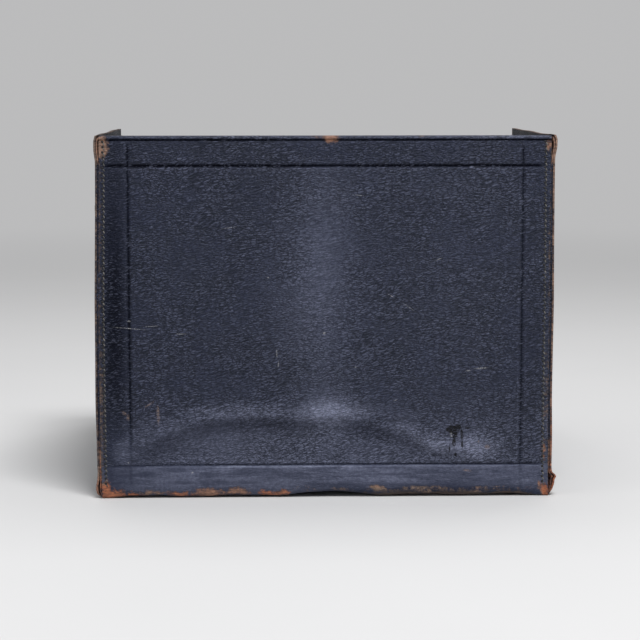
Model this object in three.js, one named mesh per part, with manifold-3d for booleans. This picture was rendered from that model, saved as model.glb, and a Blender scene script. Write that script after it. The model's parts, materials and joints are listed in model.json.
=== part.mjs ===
// A box-shaped leather camera case, standing open with its lid folded over behind it.
// Millimetres, +Z up. The origin is under the middle of the base, and the plain long wall faces -Y.
// Every piece is drawn where it lies while the case is shut. Nested groups then turn the hinge
// leather, the lid, the handle and the hasps to the open state.
import * as THREE from "three";
import { mergeVertices } from "three/addons/utils/BufferGeometryUtils.js";
import Module from "manifold-3d";

const wasm = await Module();
wasm.setup();

// Case body
const caseWidth = 286;
const caseDepth = 200;
const caseHeight = 226;
const leather = 2.4;
const lining = 0.8;
const board = 2.4;
const seat = 0.3; // clearance between pieces that touch
const foldRadius = 5; // outside of the hide's two bottom folds
const rimRadius = 1; // eased edges of the front rim
const rimTurn = 12; // how far the hide is turned in over the front wall
const flangeLength = 12; // side panels' edges, bent in behind the hide
const bendRadius = 1.5; // outside of those bends
const trimmedFlange = 4.2; // what is left of the rear flange beside the hinge leather

// Partition between the camera and the plate holders
const partitionOffset = 58; // from the middle, towards +X
const partitionThickness = 5;
const partitionHeight = 188;
const railDepth = 7;
const railWall = 3;
const railWeb = 2;
const railDrop = 3; // rails end this far below the partition's top
const bindingLeather = 1.6;
const bindingDepth = 12;

// Lid and its two-fold hinge leather
const lidDrop = 17; // how far the lid comes down over the walls
const lidBoard = 3;
const lidSideClearance = 0.6;
const lidFrontClearance = 1.5;
const lidCornerRadius = 6;
const lidEdgeRadius = 3;
const stripInset = 1; // hinge leather is this much narrower than the case at each end
const hingeGap = 0.15; // fold line stands off the back wall by this

// Handle
const handleSpan = 112; // between the two rings
const ringWire = 2.6;
const ringEye = 2; // inside radius of a ring's corners
const ringHeight = 19;
const ringShoulder = 7.3;
const ringEase = 0.5;
const gripWidth = 17;
const gripLoopWall = 2.4;
const gripLoopEye = 2;
const gripArch = 1.6; // how far the grip's inner edge rises in the middle
const gripCrown = 3.3; // how far its outer edge does
const gripEase = 1;
const stapleWidth = 3;
const stapleStrip = 1.6;
const stapleClearance = 1.1;
const stapleBaseLength = 16; // across the handle
const stapleBaseWidth = 30; // along it
const sheetMetal = 1.2;
const plateCornerRadius = 4;

// Hasps on the lid's ends
const latchOffset = -28; // along the depth, from the middle
const haspPinRadius = 1.1;
const haspPinStand = 3.2; // pin's middle, from the lid's end
const haspPinRise = 5; // pin's middle, above the lid's lower edge
const haspPinOverhang = 0.8;
const pinClearance = 0.3;
const knuckleRadius = 2.5;
const haspHalfWidth = 8;
const tongueHalfWidth = 6;
const tongueDrop = 26; // tongue's end, below the lid's lower edge
const joggleStart = 2; // below the lid's lower edge
const joggleDrop = 4.5;
const bracketHalfWidth = 12;
const bracketHeight = 15;

// Spring catches on the side walls
const catchSheet = 1;
const catchHalfWidth = 12.5;
const catchTop = 3; // below the lid's lower edge
const catchHeight = 46;
const railTop = 17; // below the lid's lower edge
const catchRailHalfGap = 7.4;
const catchRailWall = 1.4;
const catchDepth = 3.7; // inside depth, from the plate to the outer face of the cover
const coverHeight = 12;
const lipHeight = 20;
const lipHalfGap = 5;
const noseLap = 3; // how far the button's nose covers the tongue
const buttonLength = 9.7;
const buttonTravel = 4; // room that the nose has above the cover
const thumbHeight = 4;
const thumbStand = 0.8;
const springWire = 0.2;
const springRadius = 0.8; // to the middle of the wire
const springTurns = 7;

// Strap rings on the side walls
const strapOffset = 8; // along the depth, from the middle
const strapHeight = 158;
const chapeLeather = 1.8;
const chapeHalfWidth = 10;
const chapeLength = 36;
const chapeEye = 2;
const strapShoulder = 9.5;
const strapFoot = 5;
const strapDrop = 18;

// Counts, turns and one overrun for all cuts
const arcSteps = 4;
const easeSteps = 2;
const roundSteps = 20;
const springSides = 5;
const springStepsPerTurn = 8;
const overrun = 1;
const halfTurn = Math.PI;
const quarterTurn = halfTurn / 2;

// Places that several pieces share
const halfWidth = caseWidth / 2;
const halfDepth = caseDepth / 2;
const hingeHeight = caseHeight - lidDrop;
const flangeOuter = halfDepth - leather - seat;
const flangeInner = flangeOuter - leather;
const flangeUnder = leather + seat;
const flangeOver = flangeUnder + leather;
const boardHalfWidth = halfWidth - flangeLength - seat;
const liningOuter = flangeInner - seat;
const liningInner = liningOuter - lining;
const sideLiningOuter = halfWidth - leather - seat;
const sideLiningInner = sideLiningOuter - lining;
const insideHalfWidth = sideLiningInner - seat;
const floorUnder = flangeOver + seat;
const floorTop = floorUnder + lining;
const underRim = caseHeight - leather - seat;
const hingeLine = new THREE.Vector3(0, halfDepth + hingeGap, hingeHeight);

const lidInnerX = halfWidth + lidSideClearance;
const lidLiningX = lidInnerX + lining;
const lidOuterX = lidLiningX + seat + leather;
const lidInnerY = halfDepth + lidFrontClearance;
const lidLiningY = lidInnerY + lining;
const lidOuterY = lidLiningY + seat + leather;
const lidUnder = caseHeight + seat;
const lidBoardUnder = lidUnder + lining + seat;
const lidLeatherUnder = lidBoardUnder + lidBoard + seat;
const lidTop = lidLeatherUnder + leather;
const lidLine = new THREE.Vector3(0, halfDepth - leather / 2, lidLeatherUnder + leather / 2);

const stapleTop = lidTop + seat + sheetMetal;
const handleLine = new THREE.Vector3(
  0,
  (flangeOuter - lidOuterY) / 2,
  stapleTop + seat + ringEye + ringWire,
);

const metalFace = halfWidth + seat + catchSheet;
const tongueFace = metalFace + seat;
const haspLine = new THREE.Vector3(
  lidOuterX + haspPinStand,
  latchOffset,
  hingeHeight + haspPinRise,
);

// Open, the lid stands on the table by its rounded front edge, behind the back wall. One that is
// too short for that hangs as close to the wall as the handle that lies against it allows.
const lidReach = lidLine.y + lidOuterY - lidEdgeRadius;
const edgeDip = lidLine.z + lidEdgeRadius - lidTop;
const standHeight = 2 * hingeHeight - lidLine.z - lidEdgeRadius - seat;
const standShare = Math.min(1, standHeight / Math.hypot(lidReach, edgeDip));
const standingLean = Math.acos(standShare) - Math.atan2(edgeDip, lidReach);
const ringRoom = handleLine.z - lidTop - ringEye - ringWire - seat;
const hangingLean =
  Math.atan2(ringShoulder, ringHeight) -
  Math.asin(ringRoom / Math.hypot(ringShoulder, ringHeight));
const lean = Math.max(standingLean, hangingLean);
const lidFold = quarterTurn - lean;

const materials = {
  hide: new THREE.MeshStandardMaterial({ color: 0x2c313e, roughness: 0.55, metalness: 0 }),
  lining: new THREE.MeshStandardMaterial({ color: 0x1c1713, roughness: 0.9, metalness: 0 }),
  board: new THREE.MeshStandardMaterial({ color: 0x8f7a5c, roughness: 0.9, metalness: 0 }),
  chestnut: new THREE.MeshStandardMaterial({ color: 0x4a2f22, roughness: 0.6, metalness: 0 }),
  metal: new THREE.MeshStandardMaterial({ color: 0x9c917c, roughness: 0.4, metalness: 1 }),
  steel: new THREE.MeshStandardMaterial({ color: 0x8d8f92, roughness: 0.35, metalness: 1 }),
};

// Solids

function solidFrom(geometry) {
  const bare = geometry.clone();
  bare.deleteAttribute("normal");
  bare.deleteAttribute("uv");
  const merged = mergeVertices(bare);
  return new wasm.Manifold(
    new wasm.Mesh({
      numProp: 3,
      vertProperties: new Float32Array(merged.attributes.position.array),
      triVerts: new Uint32Array(merged.index.array),
    }),
  );
}

function block(x0, x1, y0, y1, z0, z1) {
  const geometry = new THREE.BoxGeometry(x1 - x0, y1 - y0, z1 - z0);
  geometry.translate((x0 + x1) / 2, (y0 + y1) / 2, (z0 + z1) / 2);
  return solidFrom(geometry);
}

const unitX = new THREE.Vector3(1, 0, 0);
const unitY = new THREE.Vector3(0, 1, 0);
const unitZ = new THREE.Vector3(0, 0, 1);

// Extrudes an outline with its end edges eased. It is drawn in (y, z) along x, in (x, z) along y
// and in (x, y) along z.
function prism(axis, shape, from, to, ease = 0) {
  const geometry = new THREE.ExtrudeGeometry(shape, {
    depth: to - from - 2 * ease,
    curveSegments: arcSteps,
    bevelEnabled: ease > 0,
    bevelThickness: ease,
    bevelSize: ease,
    bevelOffset: -ease,
    bevelSegments: easeSteps,
  });
  const turn = new THREE.Matrix4();
  if (axis === "x") turn.makeBasis(unitY, unitZ, unitX);
  if (axis === "y") turn.makeBasis(unitX, unitZ, unitY.clone().negate());
  geometry.translate(0, 0, (axis === "y" ? -to : from) + ease);
  geometry.applyMatrix4(turn);
  return solidFrom(geometry);
}

// Outline through corners [a, b, radius], where a corner with no radius is sharp.
function outline(corners) {
  const shape = new THREE.Shape();
  const points = corners.map(([a, b]) => new THREE.Vector2(a, b));
  corners.forEach(([a, b, radius = 0], i) => {
    const here = points[i];
    const before = points.at(i - 1).clone().sub(here);
    const after = points[(i + 1) % points.length].clone().sub(here);
    const half = Math.abs(before.angle() - after.angle()) / 2;
    const reach = Math.abs(radius / Math.tan(half));
    const start = here.clone().add(before.setLength(reach));
    const end = here.clone().add(after.setLength(reach));
    if (i) shape.lineTo(start.x, start.y);
    else shape.moveTo(start.x, start.y);
    if (radius) shape.quadraticCurveTo(a, b, end.x, end.y);
  });
  shape.closePath();
  return shape;
}

function rectangle(a0, a1, b0, b1, radius = 0) {
  return outline([
    [a0, b0, radius],
    [a1, b0, radius],
    [a1, b1, radius],
    [a0, b1, radius],
  ]);
}

function disc(a, b, radius) {
  const shape = new THREE.Shape();
  for (let i = 0; i < roundSteps; i++) {
    const angle = (2 * halfTurn * i) / roundSteps;
    const point = [a + radius * Math.cos(angle), b + radius * Math.sin(angle)];
    if (i) shape.lineTo(...point);
    else shape.moveTo(...point);
  }
  shape.closePath();
  return shape;
}

// Outline at one distance round the centres, which run counter-clockwise.
function belt(centres, reach) {
  const shape = new THREE.Shape();
  centres.forEach(([a, b], i) => {
    const before = centres.at(i - 1);
    const after = centres[(i + 1) % centres.length];
    const arriving = Math.atan2(b - before[1], a - before[0]) - quarterTurn;
    const leaving = Math.atan2(after[1] - b, after[0] - a) - quarterTurn;
    shape.absarc(a, b, reach, arriving, leaving, false);
  });
  shape.closePath();
  return shape;
}

// A ring of wire bent round the centres, standing square to x.
function wireRing(middle, centres) {
  const shape = belt(centres, ringEye + ringWire);
  shape.holes.push(belt(centres, ringEye));
  return prism("x", shape, middle - ringWire / 2, middle + ringWire / 2, ringEase);
}

// Groups and pieces

function piece(group, name, solid, material) {
  const { numProp, vertProperties, triVerts } = solid.getMesh();
  const geometry = new THREE.BufferGeometry();
  geometry.setAttribute("position", new THREE.BufferAttribute(vertProperties, numProp));
  geometry.setIndex(new THREE.BufferAttribute(triVerts, 1));
  geometry.computeVertexNormals();
  const mesh = new THREE.Mesh(geometry, material);
  mesh.name = name;
  group.add(mesh);
}

// A group for pieces drawn as when shut, turned by an angle about a line through the pivot.
function turned(parent, pivot, axis, angle) {
  const hinge = new THREE.Group();
  hinge.position.copy(pivot);
  hinge.quaternion.setFromAxisAngle(axis, angle);
  const inner = new THREE.Group();
  inner.position.copy(pivot).negate();
  hinge.add(inner);
  parent.add(hinge);
  return inner;
}

// The two ends are alike: each is drawn at +X, and the left one is mirrored.
function bothEnds(parent, build) {
  for (const [name, side] of [
    ["left", -1],
    ["right", 1],
  ]) {
    const end = new THREE.Group();
    end.scale.x = side;
    parent.add(end);
    build(end, name);
  }
}

// Body leather

// Solid trough from wall to wall, with rounded bottom edges and eased ends.
function trough(fromX, toX, wall, under, radius, ease = 0, top = caseHeight) {
  const shape = outline([
    [-wall, top],
    [-wall, under, radius],
    [wall, under, radius],
    [wall, top],
  ]);
  return prism("x", shape, fromX, toX, ease);
}

// One hide makes the front wall, the bottom and the back wall up to the hinge line.
function outerHide() {
  const innerWall = halfDepth - leather;
  const inside = [innerWall, leather, foldRadius - leather, 0, caseHeight + overrun];
  const sheet = trough(-halfWidth, halfWidth, halfDepth, 0, foldRadius)
    .subtract(trough(-halfWidth - overrun, halfWidth + overrun, ...inside))
    .subtract(
      block(
        -halfWidth - overrun,
        halfWidth + overrun,
        0,
        halfDepth + overrun,
        hingeHeight - seat,
        caseHeight + overrun,
      ),
    );
  const turnInner = -liningOuter + leather;
  const turnBottom = caseHeight - rimTurn;
  const turn = prism(
    "x",
    outline([
      [-halfDepth, turnBottom],
      [turnInner, turnBottom],
      [turnInner, caseHeight, rimRadius],
      [-halfDepth, caseHeight, rimRadius],
    ]),
    -insideHalfWidth,
    insideHalfWidth,
  );
  const pocket = block(
    -insideHalfWidth - overrun,
    insideHalfWidth + overrun,
    -innerWall,
    -liningOuter,
    turnBottom - overrun,
    caseHeight - leather,
  );
  return sheet.add(turn).subtract(pocket);
}

// A side panel is a tray of leather: its front, bottom and rear edges are bent in.
function sidePanel() {
  const flangeEnd = halfWidth - flangeLength;
  const cutFrom = flangeEnd - overrun;
  const ceiling = caseHeight + overrun;
  const shell = trough(
    flangeEnd - flangeLength,
    halfWidth,
    flangeOuter,
    flangeUnder,
    foldRadius - leather - seat,
    bendRadius,
  );
  const hollow = trough(
    flangeEnd - flangeLength - overrun,
    halfWidth - leather,
    flangeInner,
    flangeOver,
    0,
    0,
    ceiling,
  );
  const tooLong = block(
    flangeEnd - flangeLength - overrun,
    flangeEnd,
    -halfDepth,
    halfDepth,
    0,
    ceiling,
  );
  const underTurn = block(
    cutFrom,
    halfWidth - leather,
    -halfDepth,
    -liningInner,
    underRim,
    ceiling,
  );
  const trimmed = block(
    cutFrom,
    halfWidth - trimmedFlange,
    liningInner,
    halfDepth,
    hingeHeight,
    ceiling,
  );
  return shell.subtract(hollow).subtract(tooLong).subtract(underTurn).subtract(trimmed);
}

function addBoards(body) {
  const wallBoard = (from, to, top) =>
    block(-boardHalfWidth, boardHalfWidth, from, to, foldRadius, top);
  const front = wallBoard(-flangeOuter, -flangeInner, underRim);
  const back = wallBoard(flangeInner, flangeOuter, hingeHeight - seat);
  const bottom = block(
    -boardHalfWidth,
    boardHalfWidth,
    -liningOuter,
    liningOuter,
    flangeUnder,
    flangeUnder + board,
  );
  piece(body, "front_board", front, materials.board);
  piece(body, "back_board", back, materials.board);
  piece(body, "bottom_board", bottom, materials.board);
}

function addLinings(body) {
  const wallLining = (from, to, top) =>
    block(-insideHalfWidth, insideHalfWidth, from, to, floorUnder, top);
  const front = wallLining(-liningOuter, -liningInner, caseHeight - rimTurn - seat);
  const back = wallLining(liningInner, liningOuter, hingeHeight - seat);
  const floorHalfDepth = liningInner - seat;
  const bottom = block(
    -insideHalfWidth,
    insideHalfWidth,
    -floorHalfDepth,
    floorHalfDepth,
    floorUnder,
    floorTop,
  );
  piece(body, "front_lining", front, materials.lining);
  piece(body, "back_lining", back, materials.lining);
  piece(body, "bottom_lining", bottom, materials.lining);
  bothEnds(body, (end, name) => {
    const wall = [sideLiningInner, sideLiningOuter, -liningOuter, liningOuter];
    piece(end, `${name}_lining`, block(...wall, floorUnder, underRim), materials.lining);
  });
}

// Partition: a covered panel that slides into two grooved rails

function addPartition(body) {
  const halfPanel = partitionThickness / 2;
  const wallFace = liningInner - seat;
  const grooveHalf = halfPanel + seat;
  const railHalf = grooveHalf + railWall;
  const railFace = wallFace - railDepth;
  const bottom = floorTop + seat;
  const top = bottom + partitionHeight;
  const rail = outline([
    [partitionOffset - railHalf, wallFace],
    [partitionOffset - railHalf, railFace, railWeb],
    [partitionOffset - grooveHalf, railFace],
    [partitionOffset - grooveHalf, wallFace - railWeb],
    [partitionOffset + grooveHalf, wallFace - railWeb],
    [partitionOffset + grooveHalf, railFace],
    [partitionOffset + railHalf, railFace, railWeb],
    [partitionOffset + railHalf, wallFace],
  ]);
  const backRail = new THREE.Group();
  const frontRail = new THREE.Group();
  frontRail.rotation.z = halfTurn;
  frontRail.position.x = 2 * partitionOffset;
  body.add(backRail, frontRail);
  piece(backRail, "back_partition_rail", prism("z", rail, bottom, top - railDrop), materials.board);
  piece(frontRail, "front_partition_rail", prism("z", rail, bottom, top - railDrop), materials.board);

  const panelHalf = wallFace - railWeb - seat;
  const panel = block(
    partitionOffset - halfPanel,
    partitionOffset + halfPanel,
    -panelHalf,
    panelHalf,
    bottom,
    top,
  );
  piece(body, "partition_panel", panel, materials.lining);

  const bindingHalf = grooveHalf + bindingLeather;
  const bindingEnd = railFace - seat;
  const outer = rectangle(
    partitionOffset - bindingHalf,
    partitionOffset + bindingHalf,
    top - bindingDepth,
    top + seat + bindingLeather,
    bindingLeather,
  );
  const slot = block(
    partitionOffset - grooveHalf,
    partitionOffset + grooveHalf,
    -halfDepth,
    halfDepth,
    top - bindingDepth - overrun,
    top + seat,
  );
  const binding = prism("y", outer, -bindingEnd, bindingEnd).subtract(slot);
  piece(body, "partition_binding", binding, materials.chestnut);
}

// Hinge leather: it folds once at the back wall's top and once at the lid's rear edge

function addHingeLeather(strip) {
  const stripHalf = halfWidth - stripInset;
  const leatherStrip = block(
    -stripHalf,
    stripHalf,
    halfDepth - leather,
    halfDepth,
    hingeHeight + seat,
    lidLeatherUnder - seat,
  );
  const liningHalf = halfWidth - trimmedFlange - seat;
  const stripLining = block(
    -liningHalf,
    liningHalf,
    flangeOuter - lining,
    flangeOuter,
    hingeHeight + seat,
    caseHeight - seat,
  );
  piece(strip, "hinge_leather", leatherStrip, materials.hide);
  piece(strip, "hinge_lining", stripLining, materials.lining);
}

// Lid: a leather tray, stiffened by a board, with its edges down over three walls

function addLid(lid) {
  const floorLevel = hingeHeight - overrun;
  const footprint = outline([
    [-lidOuterX, -lidOuterY, lidCornerRadius],
    [lidOuterX, -lidOuterY, lidCornerRadius],
    [lidOuterX, flangeOuter + lidCornerRadius],
    [-lidOuterX, flangeOuter + lidCornerRadius],
  ]);
  const bulk = prism("z", footprint, hingeHeight - lidEdgeRadius, lidTop, lidEdgeRadius);
  const hollow = block(
    -lidLiningX - seat,
    lidLiningX + seat,
    -lidLiningY - seat,
    caseDepth,
    0,
    lidLeatherUnder,
  );
  const below = block(-caseWidth, caseWidth, -caseDepth, caseDepth, 0, hingeHeight);
  const behind = block(-caseWidth, caseWidth, flangeOuter, caseDepth, 0, lidTop + overrun);
  const tailHalf = halfWidth - stripInset;
  const tail = block(
    -tailHalf,
    tailHalf,
    flangeOuter - overrun,
    lidLine.y - seat,
    lidLeatherUnder,
    lidTop,
  );
  const cover = bulk.subtract(hollow).subtract(below).subtract(behind).add(tail);
  piece(lid, "lid_leather", cover, materials.hide);

  const rear = flangeOuter - seat;
  const stiffener = block(
    -lidLiningX,
    lidLiningX,
    -lidLiningY,
    rear,
    lidBoardUnder,
    lidBoardUnder + lidBoard,
  );
  piece(lid, "lid_board", stiffener, materials.board);

  const skin = block(
    -lidLiningX,
    lidLiningX,
    -lidLiningY,
    rear,
    hingeHeight + lining,
    lidUnder + lining,
  );
  const room = block(-lidInnerX, lidInnerX, -lidInnerY, caseDepth, floorLevel, lidUnder);
  piece(lid, "lid_lining", skin.subtract(room), materials.lining);
}

// Handle: a leather grip between two rings, each held by a staple on the lid

function staple() {
  const middle = handleSpan / 2;
  const archHalf = ringWire / 2 + stapleClearance + stapleStrip;
  const crown = handleLine.z + stapleStrip / 2;
  const base = prism(
    "z",
    rectangle(
      middle - stapleBaseWidth / 2,
      middle + stapleBaseWidth / 2,
      handleLine.y - stapleBaseLength / 2,
      handleLine.y + stapleBaseLength / 2,
      plateCornerRadius,
    ),
    lidTop + seat,
    stapleTop,
  );
  const halfStrip = stapleWidth / 2;
  const across = [handleLine.y - halfStrip, handleLine.y + halfStrip];
  const arch = outline([
    [middle - archHalf, stapleTop - sheetMetal],
    [middle + archHalf, stapleTop - sheetMetal],
    [middle + archHalf, crown, stapleStrip],
    [middle - archHalf, crown, stapleStrip],
  ]);
  const eye = block(
    middle - archHalf + stapleStrip,
    middle + archHalf - stapleStrip,
    handleLine.y - stapleWidth,
    handleLine.y + stapleWidth,
    stapleTop,
    crown - stapleStrip,
  );
  return base.add(prism("y", arch, ...across)).subtract(eye);
}

// A handle ring, standing up: wide at the top for the grip's loop, narrow round the staple.
function handleRing() {
  const shoulder = handleLine.z + ringHeight;
  return wireRing(handleSpan / 2, [
    [handleLine.y, handleLine.z],
    [handleLine.y + ringShoulder, shoulder],
    [handleLine.y - ringShoulder, shoulder],
  ]);
}

function handleGrip() {
  const end = handleSpan / 2;
  const middle = handleLine.z + ringHeight + ringEye + ringWire / 2;
  const loop = gripLoopEye + gripLoopWall;
  const side = new THREE.Shape();
  side.absarc(-end, middle, loop, quarterTurn, halfTurn + quarterTurn, false);
  side.quadraticCurveTo(0, middle - loop + 2 * gripArch, end, middle - loop);
  side.absarc(end, middle, loop, -quarterTurn, quarterTurn, false);
  side.quadraticCurveTo(0, middle + loop + 2 * gripCrown, -end, middle + loop);
  const halfGrip = gripWidth / 2;
  const across = [handleLine.y - halfGrip, handleLine.y + halfGrip];
  const beyond = [across[0] - overrun, across[1] + overrun];
  return prism("y", side, ...across, gripEase)
    .subtract(prism("y", disc(-end, middle, gripLoopEye), ...beyond))
    .subtract(prism("y", disc(end, middle, gripLoopEye), ...beyond));
}

// Hasp: a joggled strap that hangs from a pin on the lid's end, with a tongue for the catch

function haspBracket() {
  const plateInner = lidOuterX + seat;
  const plateOuter = plateInner + sheetMetal;
  const low = latchOffset - bracketHalfWidth;
  const high = latchOffset + bracketHalfWidth;
  const top = haspLine.z + bracketHeight;
  const plate = prism(
    "x",
    outline([
      [low, haspLine.z],
      [high, haspLine.z],
      [high, top, plateCornerRadius],
      [low, top, plateCornerRadius],
    ]),
    plateInner,
    plateOuter,
  );
  const knuckles = prism("y", disc(haspLine.x, haspLine.z, knuckleRadius), low, high);
  const gapHalf = haspHalfWidth + seat;
  const gap = block(
    lidOuterX,
    haspLine.x + knuckleRadius + overrun,
    latchOffset - gapHalf,
    latchOffset + gapHalf,
    haspLine.z - knuckleRadius - overrun,
    haspLine.z + knuckleRadius + seat,
  );
  return plate.add(knuckles).subtract(gap).subtract(pinBore());
}

function pinBore() {
  const bore = disc(haspLine.x, haspLine.z, haspPinRadius + pinClearance);
  const reach = bracketHalfWidth + overrun;
  return prism("y", bore, latchOffset - reach, latchOffset + reach);
}

function haspPin() {
  const reach = bracketHalfWidth + haspPinOverhang;
  const round = disc(haspLine.x, haspLine.z, haspPinRadius);
  return prism("y", round, latchOffset - reach, latchOffset + reach);
}

function hasp() {
  const halfSheet = sheetMetal / 2;
  const inner = haspLine.x - halfSheet;
  const outer = haspLine.x + halfSheet;
  const tongueOuter = tongueFace + sheetMetal;
  const bendTop = hingeHeight - joggleStart;
  const bendFoot = bendTop - joggleDrop;
  const tip = hingeHeight - tongueDrop;
  const profile = outline([
    [inner, haspLine.z],
    [inner, bendTop],
    [tongueFace, bendFoot],
    [tongueFace, tip],
    [tongueOuter, tip],
    [tongueOuter, bendFoot - halfSheet],
    [outer, bendTop - halfSheet],
    [outer, haspLine.z],
  ]);
  const widest = [latchOffset - haspHalfWidth, latchOffset + haspHalfWidth];
  const knuckle = prism("y", disc(haspLine.x, haspLine.z, knuckleRadius), ...widest);
  const above = haspLine.z + knuckleRadius + overrun;
  const face = outline([
    [widest[0], above],
    [widest[0], bendTop],
    [latchOffset - tongueHalfWidth, tip, plateCornerRadius],
    [latchOffset + tongueHalfWidth, tip, plateCornerRadius],
    [widest[1], bendTop],
    [widest[1], above],
  ]);
  const sheet = prism("y", profile, ...widest)
    .add(knuckle)
    .subtract(pinBore());
  return sheet.intersect(prism("x", face, halfWidth, haspLine.x + knuckleRadius + overrun));
}

// Catch: a plate with rails, in which a sprung button slides down to free the tongue

const catchBottom = hingeHeight - catchTop - catchHeight;
const catchOuter = metalFace + catchDepth;
const coverInner = catchOuter - catchSheet;
const buttonTop = hingeHeight - tongueDrop - seat;
const buttonBottom = buttonTop - buttonLength;
const coverTop = catchBottom + coverHeight;

function latchBlock(x0, x1, half, z0, z1) {
  return block(x0, x1, latchOffset - half, latchOffset + half, z0, z1);
}

function catchBody() {
  const plate = prism(
    "x",
    rectangle(
      latchOffset - catchHalfWidth,
      latchOffset + catchHalfWidth,
      catchBottom,
      catchBottom + catchHeight,
      plateCornerRadius,
    ),
    halfWidth + seat,
    metalFace,
  );
  const outerHalf = catchRailHalfGap + catchRailWall;
  const railHead = hingeHeight - railTop;
  const floor = catchBottom + catchSheet;
  const lipTop = catchBottom + lipHeight;
  const housing = latchBlock(metalFace - catchSheet, catchOuter, outerHalf, catchBottom, railHead)
    .subtract(latchBlock(metalFace, coverInner, catchRailHalfGap, floor, railHead + overrun))
    .subtract(latchBlock(coverInner - overrun, catchOuter + overrun, lipHalfGap, coverTop, lipTop))
    .subtract(
      latchBlock(
        coverInner - overrun,
        catchOuter + overrun,
        catchRailHalfGap,
        lipTop,
        railHead + overrun,
      ),
    );
  return plate.add(housing);
}

function catchButton() {
  const slideHalf = catchRailHalfGap - seat;
  const noseHalf = lipHalfGap - seat;
  const noseInner = tongueFace + sheetMetal + seat;
  const noseTop = hingeHeight - tongueDrop + noseLap;
  const noseFoot = coverTop + seat + buttonTravel;
  const slide = latchBlock(tongueFace, coverInner - seat, slideHalf, buttonBottom, buttonTop);
  const nose = latchBlock(noseInner, catchOuter, noseHalf, noseFoot, noseTop);
  const thumb = latchBlock(
    catchOuter - thumbStand,
    catchOuter + thumbStand,
    noseHalf,
    noseFoot,
    noseFoot + thumbHeight,
  );
  return slide.add(nose).add(thumb);
}

class Helix extends THREE.Curve {
  constructor(foot, head) {
    super();
    this.foot = foot;
    this.head = head;
  }

  getPoint(share, point = new THREE.Vector3()) {
    const angle = 2 * halfTurn * springTurns * share;
    const along = this.foot + (this.head - this.foot) * share;
    return point.set(springRadius * Math.cos(angle), springRadius * Math.sin(angle), along);
  }
}

// A coil spring pushes the button up against the stop.
function catchSpring() {
  const foot = catchBottom + catchSheet + seat + springWire;
  const head = buttonBottom - seat - springWire;
  const section = new THREE.Shape();
  for (let i = 0; i < springSides; i++) {
    const angle = (2 * halfTurn * i) / springSides;
    const point = [springWire * Math.cos(angle), springWire * Math.sin(angle)];
    if (i) section.lineTo(...point);
    else section.moveTo(...point);
  }
  section.closePath();
  const coil = new THREE.ExtrudeGeometry(section, {
    steps: springTurns * springStepsPerTurn,
    extrudePath: new Helix(foot, head),
  });
  coil.translate((metalFace + coverInner) / 2, latchOffset, 0);
  return solidFrom(coil);
}

// Strap ring and the leather chape that holds it to the side wall

function chape() {
  const inner = halfWidth + seat;
  const loop = chapeEye + chapeLeather;
  const tab = prism(
    "x",
    outline([
      [strapOffset - chapeHalfWidth, strapHeight],
      [strapOffset - chapeHalfWidth, strapHeight - chapeLength, plateCornerRadius],
      [strapOffset + chapeHalfWidth, strapHeight - chapeLength, plateCornerRadius],
      [strapOffset + chapeHalfWidth, strapHeight],
    ]),
    inner,
    inner + chapeLeather,
  );
  const across = [strapOffset - chapeHalfWidth, strapOffset + chapeHalfWidth];
  const beyond = [across[0] - overrun, across[1] + overrun];
  return tab
    .add(prism("y", disc(inner + loop, strapHeight, loop), ...across))
    .subtract(prism("y", disc(inner + loop, strapHeight, chapeEye), ...beyond));
}

function strapRing() {
  const middle = halfWidth + seat + chapeEye + chapeLeather;
  const shoulder = strapHeight - ringEye - ringWire / 2;
  return wireRing(middle, [
    [strapOffset - strapShoulder, shoulder],
    [strapOffset - strapFoot, strapHeight - strapDrop],
    [strapOffset + strapFoot, strapHeight - strapDrop],
    [strapOffset + strapShoulder, shoulder],
  ]);
}

// Assembly

const cameraCase = new THREE.Group();
piece(cameraCase, "outer_hide", outerHide(), materials.hide);
bothEnds(cameraCase, (end, name) => {
  piece(end, `${name}_side_panel`, sidePanel(), materials.hide);
  piece(end, `${name}_catch_body`, catchBody(), materials.metal);
  piece(end, `${name}_catch_button`, catchButton(), materials.metal);
  piece(end, `${name}_catch_spring`, catchSpring(), materials.steel);
  piece(end, `${name}_ring_chape`, chape(), materials.hide);
  piece(end, `${name}_strap_ring`, strapRing(), materials.metal);
});
addBoards(cameraCase);
addLinings(cameraCase);
addPartition(cameraCase);

const strip = turned(cameraCase, hingeLine, unitX, -halfTurn);
addHingeLeather(strip);

const lid = turned(strip, lidLine, unitX, -lidFold);
addLid(lid);
bothEnds(lid, (end, name) => {
  piece(end, `${name}_handle_staple`, staple(), materials.metal);
  piece(end, `${name}_hasp_bracket`, haspBracket(), materials.metal);
  piece(end, `${name}_hasp_pin`, haspPin(), materials.steel);
  const folded = turned(end, haspLine, unitY, halfTurn);
  piece(folded, `${name}_hasp`, hasp(), materials.metal);
});

const handle = turned(lid, handleLine, unitX, lidFold);
piece(handle, "handle_grip", handleGrip(), materials.hide);
bothEnds(handle, (end, name) => {
  piece(end, `${name}_handle_ring`, handleRing(), materials.metal);
});

export default cameraCase;
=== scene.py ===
import bpy
import bmesh
import json
import math
import numpy as np
from mathutils import Matrix, Vector

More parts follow.
